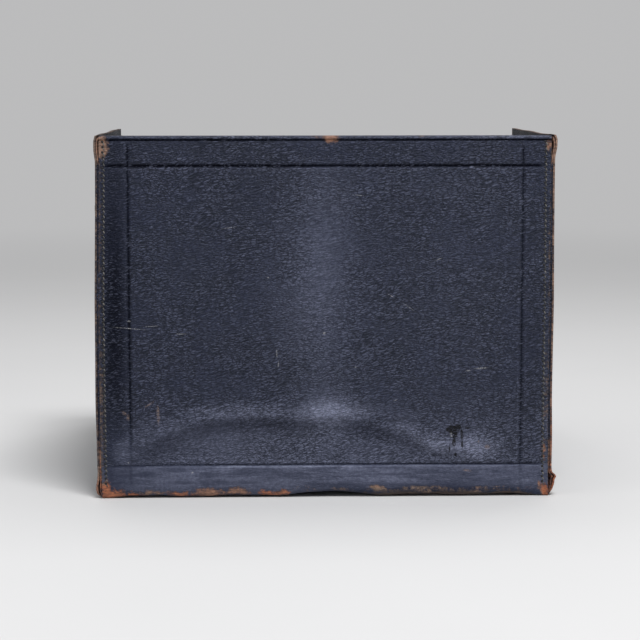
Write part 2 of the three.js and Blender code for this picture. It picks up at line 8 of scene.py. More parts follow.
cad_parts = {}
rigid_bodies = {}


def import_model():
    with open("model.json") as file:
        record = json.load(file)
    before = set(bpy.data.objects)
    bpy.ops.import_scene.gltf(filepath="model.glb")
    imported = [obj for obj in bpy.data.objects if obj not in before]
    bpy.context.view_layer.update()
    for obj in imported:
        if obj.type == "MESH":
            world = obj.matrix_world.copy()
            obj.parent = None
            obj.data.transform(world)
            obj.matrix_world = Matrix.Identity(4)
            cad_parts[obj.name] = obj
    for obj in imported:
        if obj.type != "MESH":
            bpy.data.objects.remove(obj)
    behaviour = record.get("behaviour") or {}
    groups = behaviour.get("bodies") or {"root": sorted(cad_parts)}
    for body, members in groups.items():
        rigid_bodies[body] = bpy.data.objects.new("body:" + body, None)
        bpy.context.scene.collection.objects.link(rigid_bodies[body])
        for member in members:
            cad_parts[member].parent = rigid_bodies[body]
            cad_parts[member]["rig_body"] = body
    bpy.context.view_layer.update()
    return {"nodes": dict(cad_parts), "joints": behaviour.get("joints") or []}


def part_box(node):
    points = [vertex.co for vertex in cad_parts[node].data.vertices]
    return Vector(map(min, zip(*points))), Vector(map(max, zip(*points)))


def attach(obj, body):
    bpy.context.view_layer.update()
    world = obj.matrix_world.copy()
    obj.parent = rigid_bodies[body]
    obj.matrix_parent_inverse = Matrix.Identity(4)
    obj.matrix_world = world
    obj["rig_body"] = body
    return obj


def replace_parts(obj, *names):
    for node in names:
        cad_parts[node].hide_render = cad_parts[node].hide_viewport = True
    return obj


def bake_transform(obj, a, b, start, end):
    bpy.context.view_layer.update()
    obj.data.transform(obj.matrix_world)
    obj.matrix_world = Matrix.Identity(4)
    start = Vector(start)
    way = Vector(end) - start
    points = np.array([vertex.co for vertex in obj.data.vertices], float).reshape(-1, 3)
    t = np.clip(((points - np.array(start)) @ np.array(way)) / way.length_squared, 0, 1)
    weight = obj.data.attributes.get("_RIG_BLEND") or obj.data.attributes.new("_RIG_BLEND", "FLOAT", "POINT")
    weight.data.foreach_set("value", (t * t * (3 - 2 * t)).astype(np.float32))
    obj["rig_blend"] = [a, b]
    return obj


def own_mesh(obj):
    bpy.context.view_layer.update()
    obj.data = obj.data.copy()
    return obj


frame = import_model()
mm = 0.001

# Sizes that the CAD frame gives, in metres
halfWidth, halfDepth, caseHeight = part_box("outer_hide")[1]
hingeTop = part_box("back_lining")[1][2]
joints = {joint["name"]: joint for joint in frame["joints"]}
print("frame loaded")


def linked(name, data):
    made = bpy.data.objects.new(name, data)
    bpy.context.collection.objects.link(made)
    return made


# Camera and lights

cameraSettings = {
    "place": (-0.0383, -1.2799, 0.2499),
    "turnRight": 1.676,  # degrees
    "tiltDown": 6.646,
    "roll": -0.032,
    "lens": 107.27,
}


def buildCamera(settings):
    data = bpy.data.cameras.new("caseCamera")
    data.lens = settings["lens"]
    data.clip_end = 50
    camera = linked("caseCamera", data)
    turn = Matrix.Rotation(-math.radians(settings["turnRight"]), 4, "Z")
    tilt = Matrix.Rotation(math.radians(90 - settings["tiltDown"]), 4, "X")
    roll = Matrix.Rotation(math.radians(settings["roll"]), 4, "Z")
    camera.matrix_world = Matrix.Translation(settings["place"]) @ turn @ tilt @ roll
    bpy.context.scene.camera = camera


def softLight(name, place, target, size, power):
    data = bpy.data.lights.new(name, "AREA")
    data.shape = "RECTANGLE"
    data.size, data.size_y = size
    data.energy = power
    light = linked(name, data)
    light.location = place
    light.rotation_euler = (Vector(target) - Vector(place)).to_track_quat("-Z", "Y").to_euler()


# Shader helpers

# A node's output that can stand in a sum, where each sign adds a Math node
class Wire:
    def __init__(self, tree, socket):
        self.tree, self.socket = tree, socket

    def __add__(self, other):
        return maths("ADD", self, other)

    def __radd__(self, other):
        return maths("ADD", other, self)

    def __sub__(self, other):
        return maths("SUBTRACT", self, other)

    def __rsub__(self, other):
        return maths("SUBTRACT", other, self)

    def __mul__(self, other):
        return maths("MULTIPLY", self, other)

    def __rtruediv__(self, other):
        return maths("DIVIDE", other, self)

    def __abs__(self):
        return maths("ABSOLUTE", self)


# Adds a node. Each input is a value or another node's wire.
def node(tree, kind, inputs=None, **settings):
    made = tree.nodes.new(kind)
    for key, value in settings.items():
        setattr(made, key, value)
    for key, value in (inputs or {}).items():
        if isinstance(value, Wire):
            tree.links.new(value.socket, made.inputs[key])
        else:
            made.inputs[key].default_value = value
    return made


# The same, for the one output that is wanted
def wire(tree, kind, inputs=None, output=0, **settings):
    return Wire(tree, node(tree, kind, inputs, **settings).outputs[output])


def plug(value, socket):
    value.tree.links.new(value.socket, socket)


def treeOf(values):
    return next(value.tree for value in values if isinstance(value, Wire))


def maths(operation, *values):
    return wire(treeOf(values), "ShaderNodeMath", dict(enumerate(values)), operation=operation)


def larger(first, *others):
    for other in others:
        first = maths("MAXIMUM", first, other)
    return first


def joined(*values):
    return wire(treeOf(values), "ShaderNodeCombineXYZ", dict(enumerate(values)))


def along(vector, axis):
    return wire(vector.tree, "ShaderNodeSeparateXYZ", {0: vector}, axis)


def stretched(vector, factors):
    return wire(vector.tree, "ShaderNodeVectorMath", {0: vector, 1: factors}, operation="MULTIPLY")


def distance(vector):
    return wire(vector.tree, "ShaderNodeVectorMath", {0: vector}, "Value", operation="LENGTH")


def remap(value, low, high, toLow=0.0, toHigh=1.0):
    inputs = {"Value": value, "From Min": low, "From Max": high, "To Min": toLow, "To Max": toHigh}
    return wire(value.tree, "ShaderNodeMapRange", inputs, interpolation_type="SMOOTHSTEP")


def blend(share, first, second):
    colours = [value if isinstance(value, Wire) else (*value, 1) for value in (first, second)]
    inputs = {0: share, 6: colours[0], 7: colours[1]}
    return wire(share.tree, "ShaderNodeMix", inputs, 2, data_type="RGBA")


def darker(colour, share):
    return tuple(share * part for part in colour)


def noise(vector, scale, detail=3.0, roughness=0.55, distortion=0.0):
    inputs = {
        "Vector": vector, "Scale": scale, "Detail": detail,
        "Roughness": roughness, "Distortion": distortion,
    }
    return wire(vector.tree, "ShaderNodeTexNoise", inputs, "Fac")


def attribute(tree, name):
    return wire(tree, "ShaderNodeAttribute", output="Fac", attribute_name=name)


def newGroup(name, treeKind, inputs, outputs):
    tree = bpy.data.node_groups.new(name, treeKind)
    for label, kind, *value in inputs:
        socket = tree.interface.new_socket(label, in_out="INPUT", socket_type="NodeSocket" + kind)
        if value:
            socket.default_value = value[0]
    for label, kind in outputs:
        tree.interface.new_socket(label, in_out="OUTPUT", socket_type="NodeSocket" + kind)
    sockets = tree.nodes.new("NodeGroupInput").outputs
    given = {socket.name: Wire(tree, socket) for socket in sockets if socket.name}
    return tree, given, tree.nodes.new("NodeGroupOutput").inputs


def useGroup(tree, group, inputs):
    made = node(tree, "ShaderNodeGroup", inputs, node_tree=group)
    return {socket.name: Wire(tree, socket) for socket in made.outputs}


# Leather grain: pebbles drawn out sideways, with creases between them that rise slightly to the right
def buildGrainGroup():
    tree, given, result = newGroup(
        "pebbleGrain", "ShaderNodeTree",
        [("Vector", "Vector"), ("Size", "Float", 0.0013), ("Stretch", "Float", 1.6)],
        [("Height", "Float"), ("Valley", "Float")],
    )
    place = given["Vector"]
    sway = (noise(place, 30.0, 2.0) - 0.5) * 0.010
    bent = wire(tree, "ShaderNodeVectorMath", {0: place, 1: joined(sway, sway, sway)}, operation="ADD")
    tipped = wire(tree, "ShaderNodeVectorRotate", {"Vector": bent, "Angle": 0.20}, rotation_type="Y_AXIS")
    across = 1.0 / given["Stretch"]
    placed = stretched(tipped, joined(across, across, 1.0))
    scale = 1.0 / given["Size"]
    inputs = {"Vector": placed, "Scale": scale, "Randomness": 1.0}
    cells = wire(tree, "ShaderNodeTexVoronoi", inputs, "Distance", feature="DISTANCE_TO_EDGE")
    wrinkles = noise(placed, scale * 1.1, 2.0, 0.5, 0.8)
    patch = remap(noise(place, 45.0), 0.34, 0.60, 0.72, 1.0)
    height = remap(cells, 0.0, 0.30) * 0.45 + remap(wrinkles, 0.30, 0.66)
    valley = larger(remap(cells, 0.0, 0.16, 1.0, 0.0), remap(wrinkles, 0.50, 0.38))
    plug(height * patch, result["Height"])
    plug(valley * patch, result["Valley"])
    return tree


# Ragged mask from a smooth one, as when a finish flakes or rubs off
def buildRubGroup():
    tree, given, result = newGroup(
        "rubbedAway", "ShaderNodeTree",
        [("Vector", "Vector"), ("Amount", "Float", 0.0), ("Ragged", "Float", 0.7), ("Scale", "Float", 300.0)],
        [("Mask", "Float")],
    )
    rough = noise(given["Vector"], given["Scale"], 6.0, 0.72)
    level = given["Amount"] + (rough - 0.5) * given["Ragged"]
    plug(remap(level, 0.38, 0.72) * remap(given["Amount"], 0.02, 0.12), result["Mask"])
    return tree


# Fine woven cloth with a soft nap
def buildClothGroup():
    tree, given, result = newGroup(
        "linedCloth", "ShaderNodeTree", [("Vector", "Vector"), ("Threads", "Float", 0.0007)],
        [("Height", "Float"), ("Nap", "Float")],
    )
    place = given["Vector"]
    pitch = 2 * math.pi / given["Threads"]
    x, y, z = (maths("SINE", along(place, axis) * pitch) for axis in "XYZ")
    woven = (x + y) * z + x * y
    plug(woven * 0.18 + noise(place, 900.0, 4.0, 0.7), result["Height"])
    plug(noise(place, 45.0, 4.0, 0.6), result["Nap"])
    return tree


grainGroup = buildGrainGroup()
rubGroup = buildRubGroup()
clothGroup = buildClothGroup()


def newMaterial(name):
    material = bpy.data.materials.new(name)
    material.use_nodes = True
    tree = material.node_tree
    return material, tree, tree.nodes["Principled BSDF"], wire(tree, "ShaderNodeTexCoord", output="Object")


# What every finish has: its colour, roughness and relief
def finish(shader, colour, rough, height, strength, depth):
    plug(colour, shader.inputs["Base Color"])
    plug(rough, shader.inputs["Roughness"])
    relief = wire(height.tree, "ShaderNodeBump", {"Height": height, "Strength": strength, "Distance": depth})
    plug(relief, shader.inputs["Normal"])


# Small marks on the front wall: ovals fading outwards, as long and wide as their rows say
def anyMark(place, marks):
    ovals = []
    for x, z, length, width, slope in marks:
        inputs = {
            "Vector": place, "Location": (x * mm, -halfDepth, z * mm), "Rotation": (0, -math.radians(slope), 0),
            "Scale": (length * mm / 2, 0.008, width * mm / 2),
        }
        turned = wire(place.tree, "ShaderNodeMapping", inputs, vector_type="TEXTURE")
        ovals.append(remap(distance(turned), 1.0, 0.35))
    return larger(*ovals)


hideLook = {
    "dark": (0.0085, 0.0110, 0.0260),
    "mid": (0.0150, 0.0185, 0.0390),
    "bloom": (0.205, 0.222, 0.315),  # greyish rubbed film, and the colour of painted highlights
    "raw": (0.30, 0.205, 0.150),  # leather under the dye
    "ember": (0.45, 0.135, 0.050),  # the same, stained orange
    "grime": (0.034, 0.025, 0.020),
    "soot": (0.0095, 0.0085, 0.0060),
    "chalk": (0.42, 0.42, 0.43),
    "glossTint": (0.68, 0.75, 1.0),
    "gloss": 0.42,
    # specular level where painted shade darkens the colour
    "shadedGloss": 0.08,
    "roughness": 0.47,
    "grainSize": 1.15 * mm,
    "grainDepth": 0.75 * mm,
    "grainStretch": 3.0,
    "rimWidth": 1.1,  # mm of bare leather along cut edges
    "rimShare": 0.55,
}
# x, z, length, width (mm) and slope (degrees) of marks on the front wall
whiteMarks = [
    (-122, 107.5, 26, 0.8, -5), (-122.5, 112, 3.2, 1.4, 0), (-109, 108.8, 14, 0.6, 4), (-90, 104, 9, 0.9, 0),
    (97, 81.5, 11, 1.3, 4), (89, 80, 5, 0.9, 8), (-1.0, 104, 2.2, 2.2, 0), (18.5, 82.5, 1.8, 1.3, 0),
    (-30.8, 91.5, 1.1, 7, 3), (-29.8, 84.5, 0.9, 6, -6), (78.6, 40.4, 2.2, 2.4, 0), (-36, 139, 1.8, 1.3, 0),
    (43.5, 61.5, 3.4, 0.9, 20), (79, 38.6, 2.0, 1.5, 0), (-124, 22.6, 1.6, 1.5, 0), (-84, 16.2, 2.0, 1.6, 0),
    (40.4, 127.4, 6, 0.7, -30), (52, 120, 12, 0.5, -35), (70, 150, 7, 0.6, 22), (-60, 170, 14, 0.5, 8),
    (20, 190, 10, 0.5, -6),
]
tanMarks = [
    (-126.2, 54.2, 4.5, 2.6, -35), (-123.9, 51.4, 2.4, 5.0, 0), (-110, 60, 10, 1.5, 32), (-105, 53, 2.6, 17, 2),
    (101.5, 31.5, 5, 3.6, 0), (89, 16.6, 7, 2.2, -8), (96, 35, 1.6, 2, 0),
]
scuffMarks = [
    (79.4, 42.8, 10.5, 6.2, -4), (82.6, 44.2, 6.2, 5.0, 10), (81.0, 39.5, 4.2, 6.5, -8), (85.4, 39.5, 2.2, 9, 4),
    (88.8, 43.6, 4, 1.6, 0), (80.5, 34.5, 3.4, 7, 0), (85.6, 33.5, 1.8, 6, 0), (77.6, 30.5, 1.8, 5, 0),
    (81.5, 27, 2.2, 3.4, 0),
]


# Dyed leather. The mesh gives where it is rubbed (wear), stained orange (ember; grimy below 0), hazy or lit with
# painted light (its haze-and-light attribute; painted shade below 0), polished (sheen) or pressed smooth (calm), and
# how far each point lies from a cut edge (rim, in mm). The rules are tooled lines at distances in mm from the middle,
# on an axis.
def leatherMaterial(name, look, marks=False, rules=()):
    material, tree, shader, place = newMaterial(name)
    inputs = {"Vector": place, "Size": look["grainSize"], "Stretch": look["grainStretch"]}
    grain = useGroup(tree, grainGroup, inputs)
    calm, pale, ember = (attribute(tree, label) for label in ("calm", "pale", "ember"))
    lively = 1.0 - calm
    # Near-black colour of painted shade in the grain's valleys and the tooled lines
    creviceShade = darker(look["dark"], 0.2)
    cloudy = noise(place, 14.0, 6.0, 0.6)
    colour = blend(remap(cloudy, 0.30, 0.66), look["dark"], look["mid"])
    smears = remap(noise(stretched(place, (45.0, 45.0, 340.0)), 1.0, 5.0, 0.65, 0.4), 0.36, 0.64, -0.6, 0.6)
    speckle = remap(noise(place, 420.0, 4.0, 0.7), 0.30, 0.75, 0.45, 1.0)
    # Above 0 the colour lightens: rubbed haze, and painted light such as highlights
    colour = blend(pale * (1.0 + smears * calm) * speckle, colour, look["bloom"])
    # Below 0 it darkens: painted shade
    colour = blend(pale * -1.0, colour, darker(look["dark"], 0.3))
    flatter = lively - pale * 0.25
    # Lighter pebble tops, partly rubbed and partly a painted highlight, and darker valleys between them: painted shade
    colour = blend(remap(grain["Height"], 0.75, 1.30) * 0.20 * flatter, colour, look["bloom"])
    colour = blend(grain["Valley"] * 0.95 * flatter, colour, creviceShade)
    lines = [(axis, line * mm) for axis, levels in rules for line in levels]
    if lines:
        ruled = larger(*[remap(abs(abs(along(place, axis)) - line), 1.1 * mm, 0.2 * mm) for axis, line in lines])
        # The tooled lines darkened: painted shade in their grooves
        colour = blend(ruled * 0.85, colour, creviceShade)
    # Less specular where painted shade darkens the colour, and on the scuffs
    gloss = remap(pale, 0.0, -1.0, look["gloss"], look["shadedGloss"])
    if marks:
        ragged = remap(noise(place, 1300.0, 4.0, 0.75), 0.40, 0.60)
        colour = blend(anyMark(place, whiteMarks) * ragged * 0.7, colour, look["chalk"])
        broken = remap(noise(place, 900.0, 3.0, 0.7), 0.36, 0.50)
        scuffed = remap(anyMark(place, scuffMarks), 0.0, 0.6) * broken
        colour = blend(scuffed * 0.88, colour, look["soot"])
        gloss = gloss * (1.0 - scuffed * 0.85)
        colour = blend(anyMark(place, tanMarks) * ragged * 0.55, colour, look["raw"])
    rim = remap(attribute(tree, "rim"), 0.0, look["rimWidth"], 1.0, 0.0)
    amount = larger(attribute(tree, "wear"), rim * look["rimShare"])
    inputs = {"Vector": place, "Amount": amount, "Ragged": 1.35, "Scale": 300.0}
    bare = useGroup(tree, rubGroup, inputs)["Mask"]
    grime = remap(noise(stretched(place, (190.0, 190.0, 620.0)), 1.0, 6.0, 0.75, 0.6), 0.36, 0.62)
    warm = blend(ember, look["raw"], look["ember"])
    warm = blend(grime * 0.70, warm, look["grime"])
    warm = blend(ember * -0.9, warm, look["grime"])
    rough = remap(cloudy, 0.3, 0.7, look["roughness"] - 0.07, look["roughness"] + 0.08)
    rough = rough - attribute(tree, "sheen") * 0.16 + bare * 0.25
    height = grain["Height"] * (1.0 - bare * 0.6) * lively
    if lines:
        height = height - ruled
    finish(shader, blend(bare, colour, warm), rough, height - bare * 0.5, 0.9, look["grainDepth"])
    shader.inputs["Specular IOR Level"].default_value = look["gloss"]
    if marks or lines:  # only these pieces have places darkened with painted shade
        plug(gloss, shader.inputs["Specular IOR Level"])
    shader.inputs["Specular Tint"].default_value = (*look["glossTint"], 1)
    return material


def clothMaterial(name, dark, light):
    material, tree, shader, place = newMaterial(name)
    cloth = useGroup(tree, clothGroup, {"Vector": place, "Threads": 0.0007})
    colour = blend(remap(cloth["Nap"], 0.38, 0.62), dark, light)
    dusty = remap(noise(place, 11.0, 7.0, 0.72, 1.2), 0.50, 0.72)
    colour = blend(dusty * 0.45, colour, darker(light, 2.2))
    fluff = remap(noise(place, 520.0, 5.0, 0.8), 0.64, 0.70)
    colour = blend(fluff * 0.5, colour, darker(light, 4.5))
    finish(shader, colour, remap(cloth["Nap"], 0.3, 0.7, 0.82, 0.98), cloth["Height"], 0.75, 0.16 * mm)
    shader.inputs["Sheen Weight"].default_value = 0.16
    shader.inputs["Sheen Roughness"].default_value = 0.5
    return material


def boardMaterial(name, dark, light, fibres):
    material, tree, shader, place = newMaterial(name)
    streaks = noise(stretched(place, fibres), 1.0, 6.0, 0.65, 0.4)
    colour = blend(remap(streaks, 0.3, 0.7), dark, light)
    colour = blend(remap(noise(place, 60.0, 4.0), 0.5, 0.75) * 0.4, colour, dark)
    finish(shader, colour, remap(streaks, 0.2, 0.8, 0.72, 0.9), streaks, 0.5, 0.1 * mm)
    return material


# Old plated metal: dull film, dark spots and base metal showing where it is handled
def metalMaterial(name, plate, base, tarnish, roughness):
    material, tree, shader, place = newMaterial(name)
    film = noise(place, 95.0, 6.0, 0.62)
    spots = noise(place, 520.0, 5.0, 0.7)
    colour = blend(remap(film, 0.46, 0.66) * 0.7, plate, base)
    dull = larger(remap(film, 0.62, 0.80), remap(spots, 0.62, 0.72))
    colour = blend(dull * 0.6, colour, tarnish)
    plug(1.0 - dull * 0.3, shader.inputs["Metallic"])
    brushed = noise(stretched(place, (240, 240, 2400)), 1.0)
    rough = remap(brushed, 0.3, 0.7, roughness - 0.06, roughness + 0.08) + dull * 0.3
    finish(shader, colour, rough, brushed * 0.3 - dull * 0.6, 0.5, 0.05 * mm)
    return material


def threadMaterial(name, dark, light):
    material, tree, shader, place = newMaterial(name)
    twist = wire(tree, "ShaderNodeMapping", {"Vector": place, "Rotation": (0.6, 0.6, 0.6)})
    inputs = {"Vector": twist, "Scale": 700.0, "Distortion": 1.5}
    plies = wire(tree, "ShaderNodeTexWave", inputs, "Fac", wave_type="BANDS")
    soil = noise(place, 210.0, 4.0, 0.6)
    colour = blend(remap(soil, 0.35, 0.65), dark, light)
    finish(shader, colour, remap(soil, 0.3, 0.7, 0.6, 0.8), plies, 0.5, 0.08 * mm)
    return material


chestnutLook = {
    **hideLook,
    "dark": (0.030, 0.012, 0.007),
    "mid": (0.075, 0.030, 0.015),
    "bloom": (0.13, 0.07, 0.045),
    "glossTint": (1.0, 0.95, 0.9),
    "grainSize": 0.8 * mm,
    "grainDepth": 0.06 * mm,
}
sideRules = (("Z", (20.7, 208.2)), ("Y", (80.0,)))
navyWall = leatherMaterial("navyWall", hideLook, marks=True)
navyHide = leatherMaterial("navyHide", hideLook)
navySide = leatherMaterial("navySide", hideLook, rules=sideRules)
navyHandle = leatherMaterial("navyHandle", {**hideLook, "grainSize": 1.0 * mm, "grainStretch": 1.2, "roughness": 0.42})
chestnut = leatherMaterial("chestnut", chestnutLook)
liningCloth = clothMaterial("liningCloth", (0.0095, 0.0060, 0.0050), (0.030, 0.0195, 0.0160))
pasteboard = boardMaterial("pasteboard", (0.11, 0.075, 0.045), (0.22, 0.16, 0.10), (90, 90, 90))
railWood = boardMaterial("railWood", (0.07, 0.035, 0.018), (0.17, 0.095, 0.05), (900, 900, 25))
platedMetal = metalMaterial("platedMetal", (0.42, 0.41, 0.39), (0.36, 0.28, 0.15), (0.075, 0.060, 0.045), 0.24)
pinSteel = metalMaterial("pinSteel", (0.36, 0.36, 0.36), (0.30, 0.29, 0.28), (0.08, 0.05, 0.035), 0.34)
waxedThread = threadMaterial("waxedThread", (0.035, 0.036, 0.038), (0.165, 0.158, 0.145))
# Near-black for the stitch holes: painted shade
holeShade = threadMaterial("holeShade", (0.003, 0.003, 0.004), (0.006, 0.006, 0.008))
print("materials built")


# Mesh helpers

def smoothRamp(value, low, high):
    share = np.clip((np.asarray(value, float) - low) / (high - low), 0, 1)
    return share * share * (3 - 2 * share)


def bell(value, middle, width):
    return np.exp(-(((np.asarray(value, float) - middle) / width) ** 2))


def addObject(name, mesh, material):
    mesh.materials.append(material)
    mesh.polygons.foreach_set("use_smooth", [True] * len(mesh.polygons))
    return linked(name, mesh)


def paint(made, name, values):
    layer = made.data.attributes.get(name) or made.data.attributes.new(name, "FLOAT", "POINT")
    values = np.broadcast_to(np.asarray(values, np.float32), len(made.data.vertices))
    layer.data.foreach_set("value", np.ascontiguousarray(values))


def meshPoints(made):
    points = np.empty(len(made.data.vertices) * 3, np.float32)
    made.data.vertices.foreach_get("co", points)
    return points.reshape(-1, 3).astype(float)


def movePoints(made, points):
    made.data.vertices.foreach_set("co", np.asarray(points, np.float32).ravel())
    made.data.update()


# Distance in mm of each grid point from the grid's border, less the borders that are left out
def rimDistance(grid, leftOut=()):
    across = np.linalg.norm(np.diff(grid, axis=0), axis=2)
    along = np.linalg.norm(np.diff(grid, axis=1), axis=2)
    rows = np.vstack([np.zeros((1, grid.shape[1])), np.cumsum(across, axis=0)])
    columns = np.hstack([np.zeros((grid.shape[0], 1)), np.cumsum(along, axis=1)])
    sides = {"first": rows, "last": rows[-1] - rows, "left": columns, "right": columns[:, -1:] - columns}
    return np.minimum.reduce([side for label, side in sides.items() if label not in leftOut]) / mm


def outwardMesh(name, points, faces):
    mesh = bpy.data.meshes.new(name)
    mesh.from_pydata(points, [], faces)
    work = bmesh.new()
    work.from_mesh(mesh)
    bmesh.ops.recalc_face_normals(work, faces=work.faces)
    work.to_mesh(mesh)
    work.free()
    return mesh


# A closed sheet between two grids of points of the same shape
def closedSheet(name, outer, inner, material, leftOut=()):
    rows, columns = outer.shape[:2]
    top, under = np.arange(2 * rows * columns).reshape(2, rows, columns)
    quads = []

    def join(*corners):
        quads.append(np.stack([corner.ravel() for corner in corners], axis=1))

    join(top[:-1, :-1], top[:-1, 1:], top[1:, 1:], top[1:, :-1])
    join(under[1:, :-1], under[1:, 1:], under[:-1, 1:], under[:-1, :-1])
    for line in ((0, slice(None)), (-1, slice(None)), (slice(None), 0), (slice(None), -1)):
        above, below = top[line], under[line]
        join(above[1:], above[:-1], below[:-1], below[1:])
    points = np.concatenate([outer.reshape(-1, 3), inner.reshape(-1, 3)])
    made = addObject(name, outwardMesh(name, points.tolist(), np.concatenate(quads).tolist()), material)
    paint(made, "rim", np.tile(rimDistance(outer, leftOut).ravel(), 2))
    return made


def bevelled(made, width, segments=2, limit=60):
    bevel = made.modifiers.new("easedEdges", "BEVEL")
    bevel.width = width
    bevel.segments = segments
    bevel.limit_method = "ANGLE"
    bevel.angle_limit = math.radians(limit)
    bevel.harden_normals = False
    return made


# Gives a finished piece its body, and the CAD node that it stands for
def settleIn(made, body, cadName=None):
    if cadName:
        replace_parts(made, cadName)
    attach(made, body)
    return made


# A path through corners (a, b, radius) with evenly spread points on each rounding. Straight runs
# are divided at the shares given for them, so that two such paths match point for point.
def roundedPath(corners, shares, steps=5):
    points = []
    ends = []
    for i, (a, b, radius) in enumerate(corners):
        here = np.array([a, b], float)
        if i in (0, len(corners) - 1):
            ends.append(([here], here, here))
            continue
        back = np.array(corners[i - 1][:2]) - here
        ahead = np.array(corners[i + 1][:2]) - here
        back, ahead = back / np.linalg.norm(back), ahead / np.linalg.norm(ahead)
        half = math.acos(np.clip(back @ ahead, -1, 1)) / 2
        centre = here + (back + ahead) / np.linalg.norm(back + ahead) * radius / math.sin(half)
        start, end = here + back * radius / math.tan(half), here + ahead * radius / math.tan(half)
        turn = []
        for share in np.linspace(0, 1, steps + 1):
            spoke = (start - centre) * (1 - share) + (end - centre) * share
            turn.append(centre + spoke / np.linalg.norm(spoke) * radius)
        ends.append((turn, start, end))
    for i, (turn, _, end) in enumerate(ends):
        points += turn
        if i + 1 < len(ends):
            nextStart = ends[i + 1][1]
            points += [end + (nextStart - end) * share for share in shares[i]]
    return np.array(points)


def evenShares(count):
    return [(i + 1) / (count + 1) for i in range(count)]


# Sorted places from one end to the other, closer together near the lines given
def placesWithLines(low, high, step, lines, offsets):
    places = list(np.linspace(low, high, int(round((high - low) / step)) + 1))
    for line in lines:
        places = [place for place in places if abs(place - line) > offsets[-1] * 1.15]
        places += [line + side * offset for offset in offsets for side in (-1, 1) if offset or side > 0]
    return np.array(sorted(place for place in places if low <= place <= high))


# Case hide: front wall, bottom and back wall in one sheet, turned in over the front rim

wall = {
    "cutEdge": 140.5,  # half the sheet's width
    "thickness": 2.4,
    "creaseLines": (20.7, 208.2),  # heights of the tooled lines
    "creaseSides": 122.4,
    "creaseDepth": 0.75,
    "creaseSteps": (0, 0.28, 0.55, 0.85, 1.2, 1.6, 2.1),  # how far mesh lines lie from a tooled line
    "meshStep": 3.0,
    "beadLine": 223.3,
    "foldRadius": 1.8,
    "rimRadius": 1.3,
    "turnedLow": 214.0,  # lower edge of the hide that is turned in over the rim, and its face
    "turnedFace": 92.2,
    "rise": 1.9,  # how far the bottom edge has lifted off the table in the middle
    "gap": 1.35,  # and elsewhere
    "proud": 0.8,  # how far the front rim stands above the CAD's
}
# How far the side edges lean out (mm) at a height, at their front
leanHeights = (0, 20, 61, 123, 186, 211, 226)
leanLeft = (0, 0.45, 0.85, 0.8, -0.35, -0.6, -0.6)
leanRight = (0, -0.55, -0.85, -0.6, -0.8, -0.8, -0.7)
# The arch along the top of the dent: heights at places across the wall
archX = (-140, -126, -113, -104, -90, -74, -58, -40, -20, -8, 3, 12, 22, 36, 48, 62, 76, 90, 101, 112, 140)
archZ = (14, 22, 33, 38.5, 44.5, 49, 51.5, 51.8, 49.8, 50.5, 53, 52, 48, 44.5, 40.5, 34.5, 30.5, 27.5, 22.5, 16, 8)


# How far the front wall is pushed in (mm), at x and z in mm
def dentDepth(x, z):
    above = z - np.interp(x, archX, archZ)
    swell = -1.25 * bell(above, 1.2, 4.6) - 0.35 * bell(above, 6, 14)
    pressed = 2.1 * smoothRamp(-above, -1.0, 11.0) * smoothRamp(z, 16, 27)
    fade = smoothRamp(x, -128, -100) * smoothRamp(-x, -112, -70)
    left = 1.25 - 0.45 * smoothRamp(x, -40, 30)
    return (swell + pressed * left) * fade


# How far the bottom has lifted (mm), with the front edge lifted most
def liftHeight(x, y):
    hump = wall["rise"] * smoothRamp(x, -34, -4) * smoothRamp(-x, -34, -12)
    waver = 0.3 * np.sin(x * 0.11 + 1.3) + 0.15 * np.sin(x * 0.29)
    slack = (wall["gap"] + waver) * smoothRamp(-abs(x), -141, -120)
    return np.maximum(hump * smoothRamp(-y, 20, 100) + slack * smoothRamp(-y, 40, 95), 0)


def leanOut(x, z):
    return np.sign(x) * np.where(x < 0, np.interp(z, leanHeights, leanLeft), np.interp(z, leanHeights, leanRight))


# Moves points of the body's pieces as its leather has settled with age
def settle(points):
    x, y, z = points.T / mm
    front = smoothRamp(-y, 84, 92)
    rim = smoothRamp(z, 212, 224) * smoothRamp(-y, 80, 96) * smoothRamp(-abs(x), -143, -139)
    wave = 0.5 * np.sin(x * 0.021 + 0.6) * np.sin(z * 0.016)
    moved = points.copy()
    moved[:, 0] += leanOut(x, z) * smoothRamp(abs(x), 126, 141) * smoothRamp(-y, 55, 97) * mm
    moved[:, 1] += (dentDepth(x, z) + wave) * front * mm
    moved[:, 2] += (liftHeight(x, y) * smoothRamp(-z, -22, -2) + wall["proud"] * rim) * mm
    return moved


def settled(made):
    movePoints(made, settle(meshPoints(made)))
    return made


# Relief (mm) of the tooled lines and of the lips that they have pushed up beside them
def tooledMarks(x, z):
    depth = np.zeros_like(x)
    lips = np.zeros_like(x)
    reach = smoothRamp(-abs(x), -139.5, -130)
    fainter = 0.45 + 0.55 * smoothRamp(x, -124, -60)
    for line, strength, spread in zip(wall["creaseLines"], (0.65 * fainter, 1.0), (0.75, 0.95)):
        depth = np.maximum(depth, strength * bell(z, line, spread) * reach)
        lips = np.maximum(lips, 1.6 * strength * bell(z, line - 1.2 - 0.5 * spread, 0.5) * reach)
    for side in (-1, 1):
        line = side * wall["creaseSides"]
        run = smoothRamp(-z, -223, -219) * smoothRamp(z, 2, 9)
        run = run * (0.3 + 0.7 * (smoothRamp(z, 20, 46) if side < 0 else smoothRamp(z, 16, 24)))
        depth = np.maximum(depth, 0.58 * bell(x, line, 1.1) * run)
        lips = np.maximum(lips, 0.5 * bell(abs(x - line), 2.0, 0.6) * run)
    depth = np.maximum(depth, 1.15 * bell(z, wall["beadLine"], 0.55))
    lips = np.maximum(lips, 1.2 * bell(z, wall["beadLine"] + 1.3, 0.7))
    return -wall["creaseDepth"] * depth + 0.2 * lips * (1 - depth)


